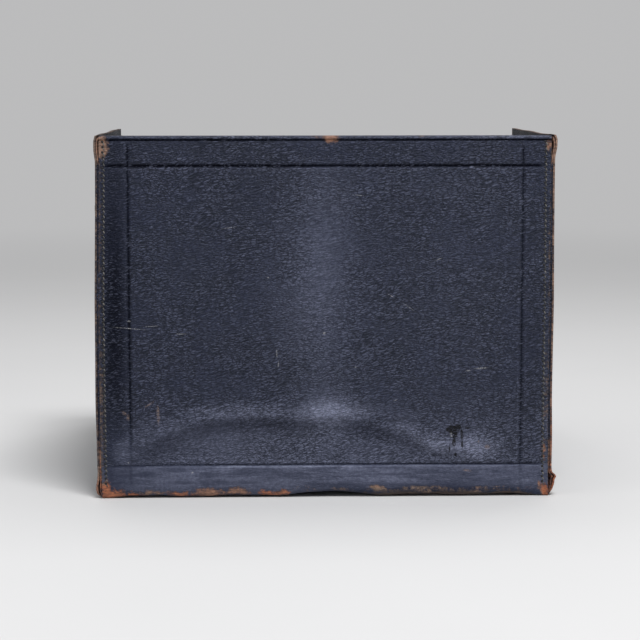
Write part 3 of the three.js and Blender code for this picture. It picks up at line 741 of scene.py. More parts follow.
# x, z, half width, half height (mm), strength and how orange, of worn places on the front wall
wornSpots = [
    (-139, 220, 5.5, 9, 1.0, 0.15), (-140, 208, 3, 5, 0.5, 0.1), (138.7, 220.4, 2.7, 4.2, 0.95, 0.3),
    (139.6, 206, 1.5, 6, 0.62, 0.1), (3, 224.5, 6.5, 3.6, 0.95, 0.35), (-6, 225.4, 5, 2.0, 0.6, 0.2),
    (60, 225.6, 5, 1.2, 0.5, 0.1), (-70, 225.6, 4, 1.2, 0.45, 0.1), (-138, 5, 3.6, 9, 1.0, 0.85),
    (-132, 2.2, 8, 3.6, 0.9, 0.8), (-110, 2.0, 16, 3.0, 0.66, 0.15), (-122, 0.8, 10, 1.4, 0.8, 0.8),
    (-92, 1.2, 12, 2.8, 0.75, 0.7), (-74, 2.2, 13, 4.0, 0.85, 0.35), (-56, 2.4, 12, 3.8, 0.8, 0.3),
    (-38, 1.6, 7, 3.0, 0.75, 0.8), (-28, 1.8, 9, 3.2, 0.8, 0.7), (-10, 2.0, 12, 2.6, 0.45, 0.1),
    (12, 2.0, 14, 2.8, 0.5, 0.0), (32, 4.4, 6.5, 3.0, 0.95, 0.1), (39, 3.2, 4.5, 2.2, 0.75, 0.1),
    (62, 1.4, 18, 1.9, 0.55, 0.0), (92, 1.4, 16, 1.9, 0.6, 0.1), (113, 4.0, 9, 0.9, 0.62, 0.8),
    (127, 3.8, 11, 1.3, 0.7, 0.7), (44, -0.6, 26, 3.4, 0.95, -0.9), (84, -0.6, 30, 3.6, 0.95, -0.9),
    (116, -0.6, 22, 3.0, 0.9, -0.8), (62, 4.9, 26, 0.55, 0.60, 0.0), (100, 5.0, 22, 0.55, 0.60, 0.1),
    (-14, 4.4, 16, 0.7, 0.5, 0.0), (135, 7, 2.6, 4, 0.66, 0.3), (138.5, 3, 3.2, 6, 0.95, 0.9),
    (137.5, 30, 2.2, 9, 0.7, 0.6), (138.5, 55, 1.6, 14, 0.62, 0.4), (-139.4, 60, 2.2, 90, 0.80, -0.45),
    (-139.6, 170, 1.8, 90, 0.76, -0.45), (139.6, 150, 1.7, 80, 0.72, -0.4), (139.2, 70, 2.0, 50, 0.74, -0.3),
]
# The same without the orange, for the front and back walls and for polished places. Above 0 a wall is lighter: rubbed
# haze, as in the streak down the middle, and painted light, as the highlights along the dent's ridge and on the top
# bead and the lighter band near the bottom. Below 0 it is darker: painted shade, as in the recess under the ridge and
# along the left edge.
hazeAndLightSpots = [
    (-2, 178, 20, 46, 0.20), (-6, 120, 19, 50, 0.36), (4, 62, 15, 16, 0.22), (-30, 130, 13, 60, 0.07),
    (26, 110, 14, 60, 0.06), (75, 120, 60, 110, 0.09), (-60, 110, 60, 100, 0.045), (0, 4, 190, 28, 0.36),
    (0, 36, 150, 20, 0.36), (70, 1.5, 60, 3.6, -0.80), (-60, 0, 60, 4, -0.2), (-96, 11, 26, 5, 0.10),
    (-30, 13, 26, 5, -0.12), (44, 9, 22, 6, 0.10), (126, 12, 9, 7, 0.16), (88, 14, 13, 5, -0.14),
    (-40, 14, 70, 12, 0.08), (-60, 40, 45, 18, 0.06), (0.5, 53.5, 14, 7, 1.35), (20, 54, 14, 5, 0.35),
    (-44, 55, 20, 4.5, 0.46), (-72, 54, 16, 4.5, 0.40), (-96, 46, 15, 5, 0.22), (-114, 37, 9, 4, 0.18),
    (70, 32, 9, 3.8, 1.25), (60, 38, 9, 4, 0.45), (48, 45, 8, 4, 0.3), (94, 31, 13, 8, 1.1),
    (28, 42, 12, 8, -0.20), (-110, 25, 20, 14, -0.12), (112, 12, 22, 9, 0.12), (131, 120, 7, 100, -0.12),
    (138, 60, 4, 60, 0.22), (60, 196, 80, 8, 0.05), (0, 225.0, 150, 1.1, 0.12), (112, 224.8, 24, 1.3, 0.45),
    (-128, 31, 6, 9, 0.5), (0, 216, 150, 5, -0.12), (-131, 16, 10, 18, 0.22), (-129.5, 115, 6.5, 100, -0.80),
    (-140.3, 110, 1.5, 160, 0.20), (-136, 110, 4, 150, -0.36),
]
backHazeAndLightSpots = [
    (0, 6, 190, 30, 0.34), (0, 110, 170, 110, 0.10), (-70, 120, 46, 70, 0.13), (66, 90, 52, 46, 0.16),
    (10, 176, 70, 16, 0.16), (-20, 60, 60, 24, -0.10), (112, 160, 24, 40, -0.12),
]
sheenSpots = [
    (3, 56, 12, 8, 0.9), (-60, 53, 28, 5, 0.7), (-36, 54, 14, 4, 0.8), (74, 33, 9, 5, 0.9),
    (92, 31, 10, 6, 0.8), (45, 42, 14, 5, 0.5), (0, 224.5, 140, 1.6, 0.6), (-5, 120, 18, 60, 0.35),
]


def oneSpot(x, z, spot):
    a, b, halfLong, halfHigh, strength = spot[:5]
    return strength * np.exp(-(((x - a) / halfLong) ** 2 + ((z - b) / halfHigh) ** 2))


def spotted(x, z, spots):
    return np.clip(sum(oneSpot(x, z, spot) for spot in spots), -1, 1.6)


def strongest(x, z, spots):
    worn = np.zeros_like(x)
    orange = np.zeros_like(x)
    for spot in spots:
        here = oneSpot(x, z, spot)
        orange = np.where(here > worn, spot[5], orange)
        worn = np.maximum(worn, here)
    return worn, orange


# Paths of the hide's outer and inner faces, from the turned-in edge round to the back wall's top
def hidePaths(heights):
    t, r, depth, height = wall["thickness"], wall["foldRadius"], halfDepth / mm, caseHeight / mm
    backTop = hingeTop / mm
    low, face, rimRadius = wall["turnedLow"], wall["turnedFace"], wall["rimRadius"]
    fold = max(r - t, 0.4)
    run = height - rimRadius
    frontShares = [(run - z) / (run - r) for z in heights[1:-1]]
    shares = [evenShares(4), evenShares(2), frontShares, evenShares(26), evenShares(24)]
    outside = [(-face, low, 0), (-face, height, 1.9), (-depth, height, rimRadius), (-depth, 0, r), (depth, 0, r),
               (depth, backTop, 0)]
    inside = [(-face - t, low, 0), (-face - t, height - t, 0.4), (-depth + t, height - t, 0.4),
              (-depth + t, t, fold), (depth - t, t, fold), (depth - t, backTop, 0)]
    return roundedPath(outside, shares), roundedPath(inside, shares)


# How smooth the front wall's grain has been pressed, from 0 to 1
def pressedSmooth(x, z):
    line, side = wall["creaseLines"][0], wall["creaseSides"]
    band = np.maximum(0.2 * smoothRamp(-x, side - 1, side + 1), 0.74 * smoothRamp(-z, -line - 1, -line + 1))
    middle = 0.35 * bell(x, 0, 16) * bell(z, 150, 55)
    lowLeft = 0.35 * bell(x, -95, 45) * bell(z, 34, 16)
    return np.clip(band + middle + lowLeft, 0, 0.85)


def buildCaseHide():
    steps, edge, side = wall["creaseSteps"], wall["cutEdge"], wall["creaseSides"]
    lines = (*wall["creaseLines"], wall["beadLine"])
    heights = placesWithLines(
        wall["foldRadius"], caseHeight / mm - wall["rimRadius"], wall["meshStep"], lines, steps)
    dentHeights = np.arange(24, 66, 3.0)
    heights = np.array(sorted(set(np.round(np.concatenate([heights, dentHeights]), 4)), reverse=True))
    heights = heights[np.concatenate([[True], -np.diff(heights) > 0.15])]
    columns = placesWithLines(-edge, edge, wall["meshStep"], (-side, side), steps)
    grids = []
    for path in hidePaths(heights):
        grid = np.empty((len(path), len(columns), 3))
        grid[..., 0] = columns
        grid[..., 1:] = path[:, None, :]
        grids.append(grid)
    outer, inner = grids
    x, y, z = np.moveaxis(outer, 2, 0)
    onFront = (y < -halfDepth / mm + 1.2) & (z > wall["foldRadius"])
    outer[..., 1] -= tooledMarks(x, z) * onFront
    made = closedSheet("caseHide", outer * mm, inner * mm, navyWall)
    x, y, z = meshPoints(made).T / mm
    front, back = smoothRamp(-y, 91, 94), smoothRamp(y, 91, 94)
    worn, orange = strongest(x, z, wornSpots)
    bottom = smoothRamp(-z, -6, 0) * (1 - front)
    corner = smoothRamp(abs(x), 128, 141) * smoothRamp(-z, -12, 0)
    paint(made, "wear", np.maximum(worn * front, 0.35 * bottom + 0.5 * corner))
    paint(made, "ember", orange * front + 0.3 * (1 - front))
    tooled = tooledMarks(x, z)
    # Painted light and shade: the tooled lines' lips lighter as lit from above, their grooves darker, plus the spots
    hazeAndLight = spotted(x, z, hazeAndLightSpots) + 1.1 * tooled - 0.25 * smoothRamp(-tooled, 0.25, 0.45)
    paint(made, "pale", np.clip(hazeAndLight, -1, 1.6) * front + spotted(x, z, backHazeAndLightSpots) * back)
    paint(made, "sheen", spotted(x, z, sheenSpots) * front)
    paint(made, "calm", pressedSmooth(x, z) * front)
    bevelled(settled(made), 0.45 * mm)
    settleIn(made, "case_body", "outer_hide")
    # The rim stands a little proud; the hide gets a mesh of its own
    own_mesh(made)


buildCaseHide()
print("case hide built")


# Side walls: the panel and, at its front, the thin welt between it and the hide

side = {
    "thickness": 2.4,
    "frontThickness": 1.35,
    "splitBehind": 5.0,  # mm behind the front edge where the two layers join
    "cornerRadius": 7.0,
    "topRise": 1.0,  # at the front corner, and how much more at the rear
    "rearRise": 0.9,
    "rearPull": 2.7,  # how far the rear edge stands back above the back wall, clear of the hinge
}
# y, z, half width, half height (mm) and strength of hazy places on a side wall, where the lighter band near the bottom
# is painted light; then worn ones, with how orange
sideHazeAndLightSpots = [
    (0, 6, 130, 26, 0.34), (0, 120, 120, 110, 0.10), (-34, 116, 34, 62, 0.14), (48, 66, 36, 40, 0.15),
    (6, 108, 16, 9, 0.30), (-26, 196, 30, 14, 0.20), (62, 180, 26, 22, -0.16), (-72, 60, 22, 40, -0.14),
    (20, 32, 44, 7, 0.22),
]
sideWornSpots = [
    (-93, 4, 9, 6, 0.85, 0.5), (93, 4, 9, 6, 0.8, 0.3), (-30, 1, 22, 1.8, 0.7, 0.2), (34, 1.2, 26, 1.6, 0.66, 0.0),
    (-12, 103, 7, 1.2, 0.62, 0.0), (58, 38, 9, 0.9, 0.62, 0.0), (-58, 142, 1.0, 8, 0.6, 0.0),
    (72, 120, 1.2, 11, 0.62, -0.4), (8, 222, 14, 2.2, 0.6, 0.0),
]


# How far a side wall's front edge stands out (mm), at a height z in mm
def frayedEdge(z, sideSign):
    if sideSign < 0:
        top = 0.9 * smoothRamp(z, 209, 218) - 0.9 * smoothRamp(z, 222, 226.5)
        return 1.35 * bell(z, 6.5, 5.0) - 1.9 * smoothRamp(-z, -3.2, -0.5) + 0.25 * bell(z, 60, 25) + top
    curl = 2.1 * bell(z, 12.6, 1.7) + 1.7 * bell(z, 9.0, 4.2)
    curl += 1.3 * smoothRamp(z, 211, 220) - 1.0 * smoothRamp(z, 223, 226.5)
    return curl - 1.5 * smoothRamp(-z, -5, -0.5) + 0.3 * bell(z, 40, 16) + 0.2 * bell(z, 120, 30)


def extraRise(y):
    return side["topRise"] + side["rearRise"] * smoothRamp(y, -70, 90)


def rearPull(z):
    return side["rearPull"] * smoothRamp(z, 204, 208.3)


def sideWallGrids(sideSign):
    depth, height, width = halfDepth / mm, caseHeight / mm, halfWidth / mm
    rows = np.concatenate([np.linspace(0.3, height, 76), np.arange(1.3, 24, 1.1), np.arange(206, height, 1.5)])
    rows = np.array(sorted(set(np.round(rows, 3))))
    rows = rows[np.concatenate([[True], np.diff(rows) > 0.4])]
    rows[-1] = height
    lanes = np.concatenate([
        np.array([0, 0.5, 1.2, 2.4, 4, 6, 9]) - depth, np.linspace(13 - depth, depth - 13, 56),
        depth - np.array([9, 6, 4, 2.6, 1.4, 0.4])])
    y, z = np.meshgrid(lanes, rows)
    fromFront = y + depth
    rounding = side["cornerRadius"]
    low = np.clip(rounding - z, 0, rounding)
    inset = rounding - np.sqrt(np.maximum(rounding**2 - low**2, 0))
    y = y + 0.8 * (np.maximum(inset - fromFront, 0) - np.maximum(inset - (depth - y), 0))
    y = y - rearPull(z) * smoothRamp(y, depth - 13, depth)
    out = frayedEdge(z, sideSign) * smoothRamp(-fromFront, -13, -1)
    bulge = 0.35 * np.sin(z * 0.021 + 0.4) * np.sin((y + depth) * 0.0157)
    thinner = side["thickness"] - side["frontThickness"]
    thick = side["thickness"] - thinner * smoothRamp(-fromFront, -side["splitBehind"], -2)
    sunk = 0.25 * smoothRamp(-fromFront, -1.3, 0) + 0.25 * smoothRamp(y, depth - 1.3, depth)
    outside = width + out + bulge - sunk
    inside = outside - thick + sunk * 1.4
    lifted = z + extraRise(y) * smoothRamp(z, height - 40, height) + 0.18 * np.sin(y * 0.07 + sideSign)
    lifted = np.maximum(lifted, 0.25)
    return [np.stack([sideSign * grid, y, lifted], axis=2) * mm for grid in (outside, inside)]


def wearSideWall(made, sideSign):
    depth, height = halfDepth / mm, caseHeight / mm
    x, y, z = meshPoints(made).T / mm
    atFront = smoothRamp(-y, depth - 2.6, depth - 0.8)
    rearLine = depth - rearPull(z)
    atBack = smoothRamp(y, rearLine - 2.6, rearLine - 0.8)
    lowEdge = smoothRamp(-z, -7, -1)
    crest = height + extraRise(y)
    topEdge = smoothRamp(z, crest - 0.8, crest - 0.15)
    streaky = 0.5 + 0.14 * np.sin(z * 0.19 + 2 * sideSign) + 0.10 * np.sin(z * 0.47)
    frontWear, ember = (0.40, -0.40) if sideSign < 0 else (0.47, 0.12)
    worn = np.maximum.reduce([
        atFront * (frontWear + 0.34 * streaky), atBack * 0.6, 0.8 * lowEdge * np.maximum(atFront, 0.45),
        0.55 * topEdge, atFront * smoothRamp(z, 200, 215), atFront * smoothRamp(-z, -26, -12),
    ])
    deep = smoothRamp(-z, -24, -8)
    if sideSign > 0:
        deep = smoothRamp(-z, -90, -20) * 0.6 + 0.4 * smoothRamp(-z, -20, -8)
    spots, orange = strongest(sideSign * y, z, sideWornSpots)
    paint(made, "wear", np.maximum(worn, spots))
    paint(made, "ember", np.where(spots > worn, orange, np.clip(ember + 0.80 * deep, -1, 1)))
    # Painted shade: the wall's top, inside and out, darkened and made less glossy
    soot = 0.9 * smoothRamp(z, 214, 222) * (abs(x) < 142.2)
    paint(made, "pale", spotted(sideSign * y, z, sideHazeAndLightSpots) - soot)


def buildWelt(name, sideSign):
    depth, height, width = halfDepth / mm, caseHeight / mm, halfWidth / mm
    rows = np.concatenate([np.linspace(1.0, 24, 17), np.linspace(27, height - 0.6, 68)])
    y, z = np.meshgrid(np.array([0.15, 0.6, 1.5, 3.0, 5.0]) - depth, rows)
    share = 0.55 * smoothRamp(-(y + depth), -5, -1)
    follow, gap = 0.9, 0.35 * bell(z, 7, 6)
    if sideSign > 0:
        follow, gap = 0.8 + 0.5 * smoothRamp(-z, -22, -14), 0
    out = frayedEdge(z, sideSign) * share * (follow + (1.7 - follow) * smoothRamp(z, 190, 205))
    outside = width - side["frontThickness"] - 0.18 + out - gap
    waver = 0.12 * np.sin(z * 0.31) + 0.1 * np.sin(z * 0.83 + 1)
    y = y + waver * (y < -depth + 1)
    grids = [np.stack([sideSign * grid, y, z], axis=2) * mm for grid in (outside, outside - 0.85)]
    made = closedSheet(name, *grids, navyHide)
    z = meshPoints(made)[:, 2] / mm
    paint(made, "wear", 0.12 + 0.5 * smoothRamp(-z, -60, -25) + 0.8 * smoothRamp(z, 207, 213))
    paint(made, "rim", 99)
    paint(made, "ember", 0.25 + 0.4 * smoothRamp(-z, -30, -10))
    settleIn(bevelled(settled(made), 0.22 * mm), "case_body")


for label, sideSign in (("left", -1), ("right", 1)):
    sideWall = closedSheet(f"{label}SideWall", *sideWallGrids(sideSign), navySide)
    wearSideWall(sideWall, sideSign)
    bevelled(settled(sideWall), 0.4 * mm)
    settleIn(sideWall, "case_body", f"{label}_side_panel")
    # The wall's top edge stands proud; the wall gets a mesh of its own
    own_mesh(sideWall)
    buildWelt(f"{label}Welt", sideSign)
print("side walls built")


# Geometry Nodes helpers

def outwardOf(tree):
    inputs = {"Name": "outward"}
    return wire(tree, "GeometryNodeInputNamedAttribute", inputs, "Attribute", data_type="FLOAT_VECTOR")


def randomFloat(tree, low, high, seed):
    return wire(tree, "FunctionNodeRandomValue", {2: low, 3: high, "Seed": seed}, 1, data_type="FLOAT")


# A rotation turned about its own Z axis
def spun(tree, rotation, angle):
    twist = wire(tree, "FunctionNodeAxisAngleToRotation", {"Axis": (0, 0, 1), "Angle": angle})
    inputs = {"Rotation": rotation, "Rotate By": twist}
    return wire(tree, "FunctionNodeRotateRotation", inputs, rotation_space="LOCAL")


def coloured(geometry, material):
    return wire(geometry.tree, "GeometryNodeSetMaterial", {"Geometry": geometry, "Material": material})


def transformed(geometry, move, size):
    inputs = {"Geometry": geometry, "Translation": move, "Scale": size}
    return wire(geometry.tree, "GeometryNodeTransform", inputs)


# An object of points that carry their outward directions
def pointSource(name, points, edges, outward):
    mesh = bpy.data.meshes.new(name)
    mesh.from_pydata([tuple(point) for point in points], edges, [])
    layer = mesh.attributes.new("outward", "FLOAT_VECTOR", "POINT")
    layer.data.foreach_set("vector", np.array(outward, np.float32).ravel())
    return linked(name, mesh)


# Runs a Geometry Nodes tree on an object and keeps what it makes as a plain mesh
def madeByNodes(source, tree, values, name):
    modifier = source.modifiers.new(name, "NODES")
    modifier.node_group = tree
    for item in tree.interface.items_tree:
        if item.in_out == "INPUT" and item.name in values:
            modifier[item.identifier] = values[item.name]
    graph = bpy.context.evaluated_depsgraph_get()
    mesh = bpy.data.meshes.new_from_object(source.evaluated_get(graph), depsgraph=graph)
    mesh.name = name
    bpy.data.objects.remove(source)
    return linked(name, mesh)


# Stitches along a line of points: a slanted thread and, between two of them, a hole: a near-black disc of painted
# shade
def stitchTree():
    tree, given, result = newGroup(
        "stitchRow", "GeometryNodeTree",
        [("Geometry", "Geometry"), ("Pitch", "Float"), ("Length", "Float"), ("Thickness", "Float"),
         ("Slant", "Float"), ("Sink", "Float"), ("Seed", "Int"), ("Thread", "Material"), ("Hole", "Material")],
        [("Geometry", "Geometry")],
    )
    thickness = given["Thickness"]
    line = wire(tree, "GeometryNodeMeshToCurve", {"Mesh": given["Geometry"]})
    spread = wire(tree, "GeometryNodeResampleCurve", {"Curve": line, "Length": given["Pitch"]}, mode="LENGTH")
    inputs = {"Primary Axis": outwardOf(tree), "Secondary Axis": wire(tree, "GeometryNodeInputTangent")}
    turn = wire(tree, "FunctionNodeAxesToRotation", inputs, primary_axis="Z", secondary_axis="X")
    posed = spun(tree, turn, given["Slant"] + randomFloat(tree, -0.12, 0.12, given["Seed"]))
    ball = wire(tree, "GeometryNodeMeshUVSphere", {"Segments": 10, "Rings": 6, "Radius": 1.0}, "Mesh")
    thin = thickness * 0.5
    stitch = transformed(ball, joined(0.0, 0.0, given["Sink"] * -1.0), joined(given["Length"] * 0.5, thin, thin))
    pip = wire(tree, "GeometryNodeMeshCylinder", {"Vertices": 10, "Radius": 1.0, "Depth": 1.0}, "Mesh")
    wide = thickness * 0.85
    hole = transformed(pip, joined(given["Pitch"] * 0.5), joined(wide, wide, thickness * 0.16))
    both = node(tree, "GeometryNodeJoinGeometry")
    plug(coloured(stitch, given["Thread"]), both.inputs[0])
    plug(coloured(hole, given["Hole"]), both.inputs[0])
    shade = wire(tree, "GeometryNodeSetShadeSmooth", {0: Wire(tree, both.outputs[0])})
    placed = wire(tree, "GeometryNodeInstanceOnPoints", {"Points": spread, "Instance": shade, "Rotation": posed})
    plug(wire(tree, "GeometryNodeRealizeInstances", {0: placed}), result[0])
    return tree


stitchNodes = stitchTree()
saddleStitch = {
    "Pitch": 3.175 * mm, "Length": 2.1 * mm, "Thickness": 0.95 * mm, "Slant": 0.45, "Sink": 0.10 * mm,
    "Seed": 1, "Thread": waxedThread, "Hole": holeShade,
}


# Lines are pairs of points in metres and their outward directions, or one direction for all
def stitchRows(name, lines, settings, body):
    points, edges, outward = [], [], []
    for linePoints, ways in lines:
        first = len(points)
        points += list(linePoints)
        outward += list(np.broadcast_to(ways, (len(linePoints), 3)))
        edges += [(first + i, first + i + 1) for i in range(len(linePoints) - 1)]
    made = madeByNodes(pointSource(name + "Line", points, edges, outward), stitchNodes, settings, name)
    settleIn(made, body)


def buildBodyStitches():
    lines = []
    inset = 3.15
    for x in (inset - wall["cutEdge"], wall["cutEdge"] - inset):
        frontLine = settle(np.array([(x * mm, -halfDepth, z * mm) for z in np.linspace(8, 221, 90)]))
        backLine = [(x * mm, halfDepth, z * mm) for z in np.linspace(8, 181, 80)]
        lines += [(frontLine, (0, -1, 0)), (backLine, (0, 1, 0))]
    stitchRows("bodyStitches", lines, saddleStitch, "case_body")


buildBodyStitches()
print("body stitches made")


# Boards behind the hide

# A flat slab as big as a CAD node, finely divided. Its two faces lie across the given axis.
def slabLike(cadName, name, axis, step, material, ease, waves=0.0):
    low, high = (np.array(corner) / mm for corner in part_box(cadName))
    first, second = [i for i in range(3) if i != axis]
    spans = [np.linspace(low[i], high[i], max(4, int((high[i] - low[i]) / step))) for i in (first, second)]
    spans = [np.array(sorted({*span, span[0] + ease * 1.6, span[-1] - ease * 1.6})) for span in spans]
    a, b = np.meshgrid(*spans)
    ripple = np.sin(a * 0.043 + 1) * np.sin(b * 0.037 + 2) + 0.4 * np.sin(a * 0.13) * np.sin(b * 0.11 + 1)
    faces = []
    for level in (low[axis], high[axis]):
        face = np.empty((*a.shape, 3))
        face[..., first], face[..., second], face[..., axis] = a, b, level
        calm = np.minimum(1, rimDistance(face * mm) / 12)
        face[..., axis] += waves * ripple * calm
        faces.append(face * mm)
    return bevelled(settled(closedSheet(name, *faces, material)), ease * mm)


def dress(cadName, material):
    slots = frame["nodes"][cadName].data.materials
    slots.clear()
    slots.append(material)


for cadName, name, axis in (("front_board", "frontBoard", 1), ("bottom_board", "bottomBoard", 2)):
    settleIn(slabLike(cadName, name, axis, 6, pasteboard, 0.4), "case_body", cadName)
for cadName in ("back_board", "lid_board"):
    dress(cadName, pasteboard)
print("boards dressed")


# Cloth lining, glued down over boards and flanges

linings = {  # CAD node: (name, axis across it)
    "front_lining": ("frontLining", 1),
    "back_lining": ("backLining", 1),
    "bottom_lining": ("bottomLining", 2),
    "left_lining": ("leftLining", 0),
    "right_lining": ("rightLining", 0),
}
for cadName, (name, axis) in linings.items():
    cloth = slabLike(cadName, name, axis, 4, liningCloth, 0.22, waves=0.13)
    settleIn(cloth, "case_body", cadName)


# Partition: a cloth-covered panel with a stitched leather binding along its top

partition = {"rounding": 1.4, "bindingRounding": 2.4, "bindingThickness": 1.6, "stitchInset": 2.6}


# A sheet between two paths, drawn along the axis across them
def sheetAcross(name, paths, stations, material, leftOut=(), across=0):
    grids = []
    others = [i for i in range(3) if i != across]
    for path in paths:
        grid = np.empty((len(path), len(stations), 3))
        grid[..., across] = stations
        for i, axis in enumerate(others):
            grid[..., axis] = path[:, None, i]
        grids.append(grid * mm)
    return closedSheet(name, *grids, material, leftOut)


def buildPartition():
    panel = slabLike("partition_panel", "partitionPanel", 0, 4, liningCloth, partition["rounding"], waves=0.1)
    settleIn(panel, "case_body", "partition_panel")
    (x0, y0, z0), (x1, y1, z1) = (np.array(corner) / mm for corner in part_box("partition_binding"))
    t, r = partition["bindingThickness"], partition["bindingRounding"]
    shares = [evenShares(6), evenShares(2), evenShares(6)]
    outside = roundedPath([(x0, z0, 0), (x0, z1, r), (x1, z1, r), (x1, z0, 0)], shares)
    inside = roundedPath([(x0 + t, z0, 0), (x0 + t, z1 - t, r - t), (x1 - t, z1 - t, r - t), (x1 - t, z0, 0)], shares)
    binding = sheetAcross("partitionBinding", (outside, inside), np.linspace(y0, y1, 60), chestnut, across=1)
    x, y, z = meshPoints(binding).T / mm
    paint(binding, "wear", 0.42 * smoothRamp(z, z1 - 1.5, z1) * (0.6 + 0.4 * np.sin(y * 0.09)))
    paint(binding, "sheen", smoothRamp(z, z1 - 3, z1))
    settleIn(bevelled(binding, 0.4 * mm), "case_body", "partition_binding")
    level = z0 + partition["stitchInset"]
    lines = [([(face * mm, y * mm, level * mm) for y in np.linspace(y0 + 3, y1 - 3, 50)], (way, 0, 0))
             for face, way in ((x0, -1), (x1, 1))]
    stitchRows("bindingStitches", lines, {**saddleStitch, "Slant": 0.12}, "case_body")


buildPartition()
print("lining and partition built")


# The lid's and the handle's pieces are drawn shut and then turned, as the CAD turns its own

def turnAbout(degrees, y, z):
    line = Matrix.Translation((0, y, z))
    return line @ Matrix.Rotation(math.radians(degrees), 4, "X") @ line.inverted()


def turned(points, matrix):
    m = np.array(matrix)
    return np.asarray(points) @ m[:3, :3].T + m[:3, 3]


stripLine = Vector(joints["strip_fold"]["pos_m"])
openLidLine = Vector(joints["lid_fold"]["pos_m"])
stripTurn = turnAbout(-180, stripLine.y, stripLine.z)
lidLine = stripTurn.inverted() @ openLidLine
lidLean = math.degrees(math.acos(joints["left_hasp_swing"]["axis"][1]))
lidTurn = stripTurn @ turnAbout(-lidLean, lidLine.y, lidLine.z)
lidSpin = np.array(lidTurn)[:3, :3]
handleLine = lidTurn.inverted() @ Vector(joints["handle_swing"]["pos_m"])
handleTurn = lidTurn @ turnAbout(lidLean, handleLine.y, handleLine.z)
handleSpin = np.array(handleTurn)[:3, :3]


# Hinge leather: the hide folds over the back wall's top edge, hangs down and bends into the lid

hinge = {
    "halfWidth": 142.0,
    "foldHalfWidth": 141.4,
    "liningHalfWidth": 138.5,
    "leather": 2.4,
    "cloth": 0.8,
    "foldGap": 0.15,  # between the fold line and the leather's inner face
    "clothGap": 0.3,
    "bendRadius": 3.4,  # at the lid
    "tail": 1.5,  # how far the piece runs past the lid's fold line
    "spread": 2.2,  # how far above that line the bend begins
    "clothOff": 5.2,  # from the leather's middle to the cloth's, at the lid
    "clothRadius": 12,
    # where the cloth climbs from the lining onto the fold: y, and height above the lining's top
    "climb": ((94.2, 0.1), (94.22, 0.6), (94.45, 1.05), (94.9, 1.4), (95.6, 1.6), (96.5, 1.8)),
}


def offsetPath(path, distance):
    steps = np.gradient(path, axis=0)
    normals = np.stack([steps[:, 1], -steps[:, 0]], axis=1)
    return path + normals / np.linalg.norm(normals, axis=1, keepdims=True) * distance


def arcPath(y, z, radius, fromAngle, toAngle, steps):
    angles = np.radians(np.linspace(fromAngle, toAngle, steps))
    return np.stack([y - radius * np.cos(angles), z + radius * np.sin(angles)], axis=1)


# A sheet that bends between two bodies, from one place to another (y and z in mm)
def crossing(name, paths, halfWide, material, bodies, start, end):
    made = sheetAcross(name, paths, np.linspace(-halfWide, halfWide, 72), material, ("first", "last"))
    bevelled(made, 0.2 * mm, limit=70)
    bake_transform(made, *bodies, start=(0, start[0] * mm, start[1] * mm), end=(0, end[0] * mm, end[1] * mm))
    return made


# The same for cloth, given by the path of its middle
def crossingCloth(name, middle, bodies, start, end):
    half, wide = hinge["cloth"] / 2, hinge["liningHalfWidth"]
    paths = offsetPath(middle, -half), offsetPath(middle, half)
    made = crossing(name, paths, wide, liningCloth, bodies, start, end)
    return made


def buildTopFold():
    y, z, low = stripLine.y / mm, stripLine.z / mm, hingeTop / mm
    bodies = ("case_body", "hinge_strip")
    tight, wide = hinge["foldGap"], hinge["foldGap"] + hinge["leather"]
    paths = [np.vstack([[(y - r, low)], arcPath(y, z, r, 0, 180, 25), [(y + r, low)]]) for r in (wide, tight)]
    start, end = (y - wide, z), (y + wide, z)
    fold = crossing("topFold", paths, hinge["foldHalfWidth"], navyHide, bodies, start, end)
    paint(fold, "wear", 0.3)
    radius = wide + hinge["clothGap"] + hinge["cloth"] / 2
    climb = [(place, low + height) for place, height in hinge["climb"]]
    middle = np.vstack([climb, arcPath(y, z, radius, 40, 180, 22), [(y + radius, low)]])
    crossingCloth("topFoldLining", middle, bodies, (y - radius, z), (y + radius, z))
    return y + radius


def buildHinge(face):
    low, t, bodies = hingeTop / mm, hinge["leather"], ("hinge_strip", "lid")
    line = np.array([openLidLine.y, openLidLine.z]) / mm
    lean = math.radians(lidLean)
    down = np.array([math.cos(lean), -math.sin(lean)])
    out = np.array([math.sin(lean), math.cos(lean)])
    closing = [1 - (1 - k / 25) ** 2 for k in range(1, 25)]
    end = line + down * hinge["tail"]
    middle = roundedPath([(line[0], low, 0), (*line, hinge["bendRadius"]), (*end, 0)], [closing, evenShares(3)], 8)
    paths = offsetPath(middle, t / 2), offsetPath(middle, -t / 2)
    start = line[0], line[1] + hinge["spread"]
    strip = crossing("hingeLeather", paths, hinge["halfWidth"], navyHide, bodies, start, end)
    x, y, z = meshPoints(strip).T / mm
    paint(strip, "wear", 0.34 * bell(z, line[1], 2.5) + 0.3 * smoothRamp(abs(x), 136, 142))
    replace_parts(strip, "hinge_leather")

    start = line + out * hinge["clothOff"]
    end = start + down * hinge["tail"]
    corner = start + down * (face - start[0]) / down[0]
    shares = [evenShares(8), evenShares(8)]
    middle = roundedPath([(face, low, 0), (*corner, hinge["clothRadius"]), (*end, 0)], shares, 10)
    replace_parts(crossingCloth("hingeLining", middle, bodies, (face, corner[1] + 1), end), "hinge_lining")


buildHinge(buildTopFold())
print("hinge leather built")


# Lid: a shallow leather tray with sewn corners, lined with cloth

lidTray = {
    "halfWidth": 147.1, "front": -105.0, "back": 97.3, "top": 233.1, "foot": 209.0,
    "cornerRadius": 6.0, "edgeRadius": 3.0, "thickness": 2.4,
    "crease": 20.9,  # from the tray's sides and front to the tooled lines
    "backCrease": 12,  # and from its back
    "creaseDepth": 0.55,
    "creaseSteps": (0, 0.3, 0.6, 1.0, 1.5, 2.1),
    "meshStep": 4.5,
    "stitchInset": 3.2,
}
liningTray = {
    "halfWidth": 144.4, "front": -102.3, "back": 97.2, "top": 227.1, "foot": 209.8,
    "cornerRadius": 3.3, "edgeRadius": 1.2, "thickness": 0.8,
}


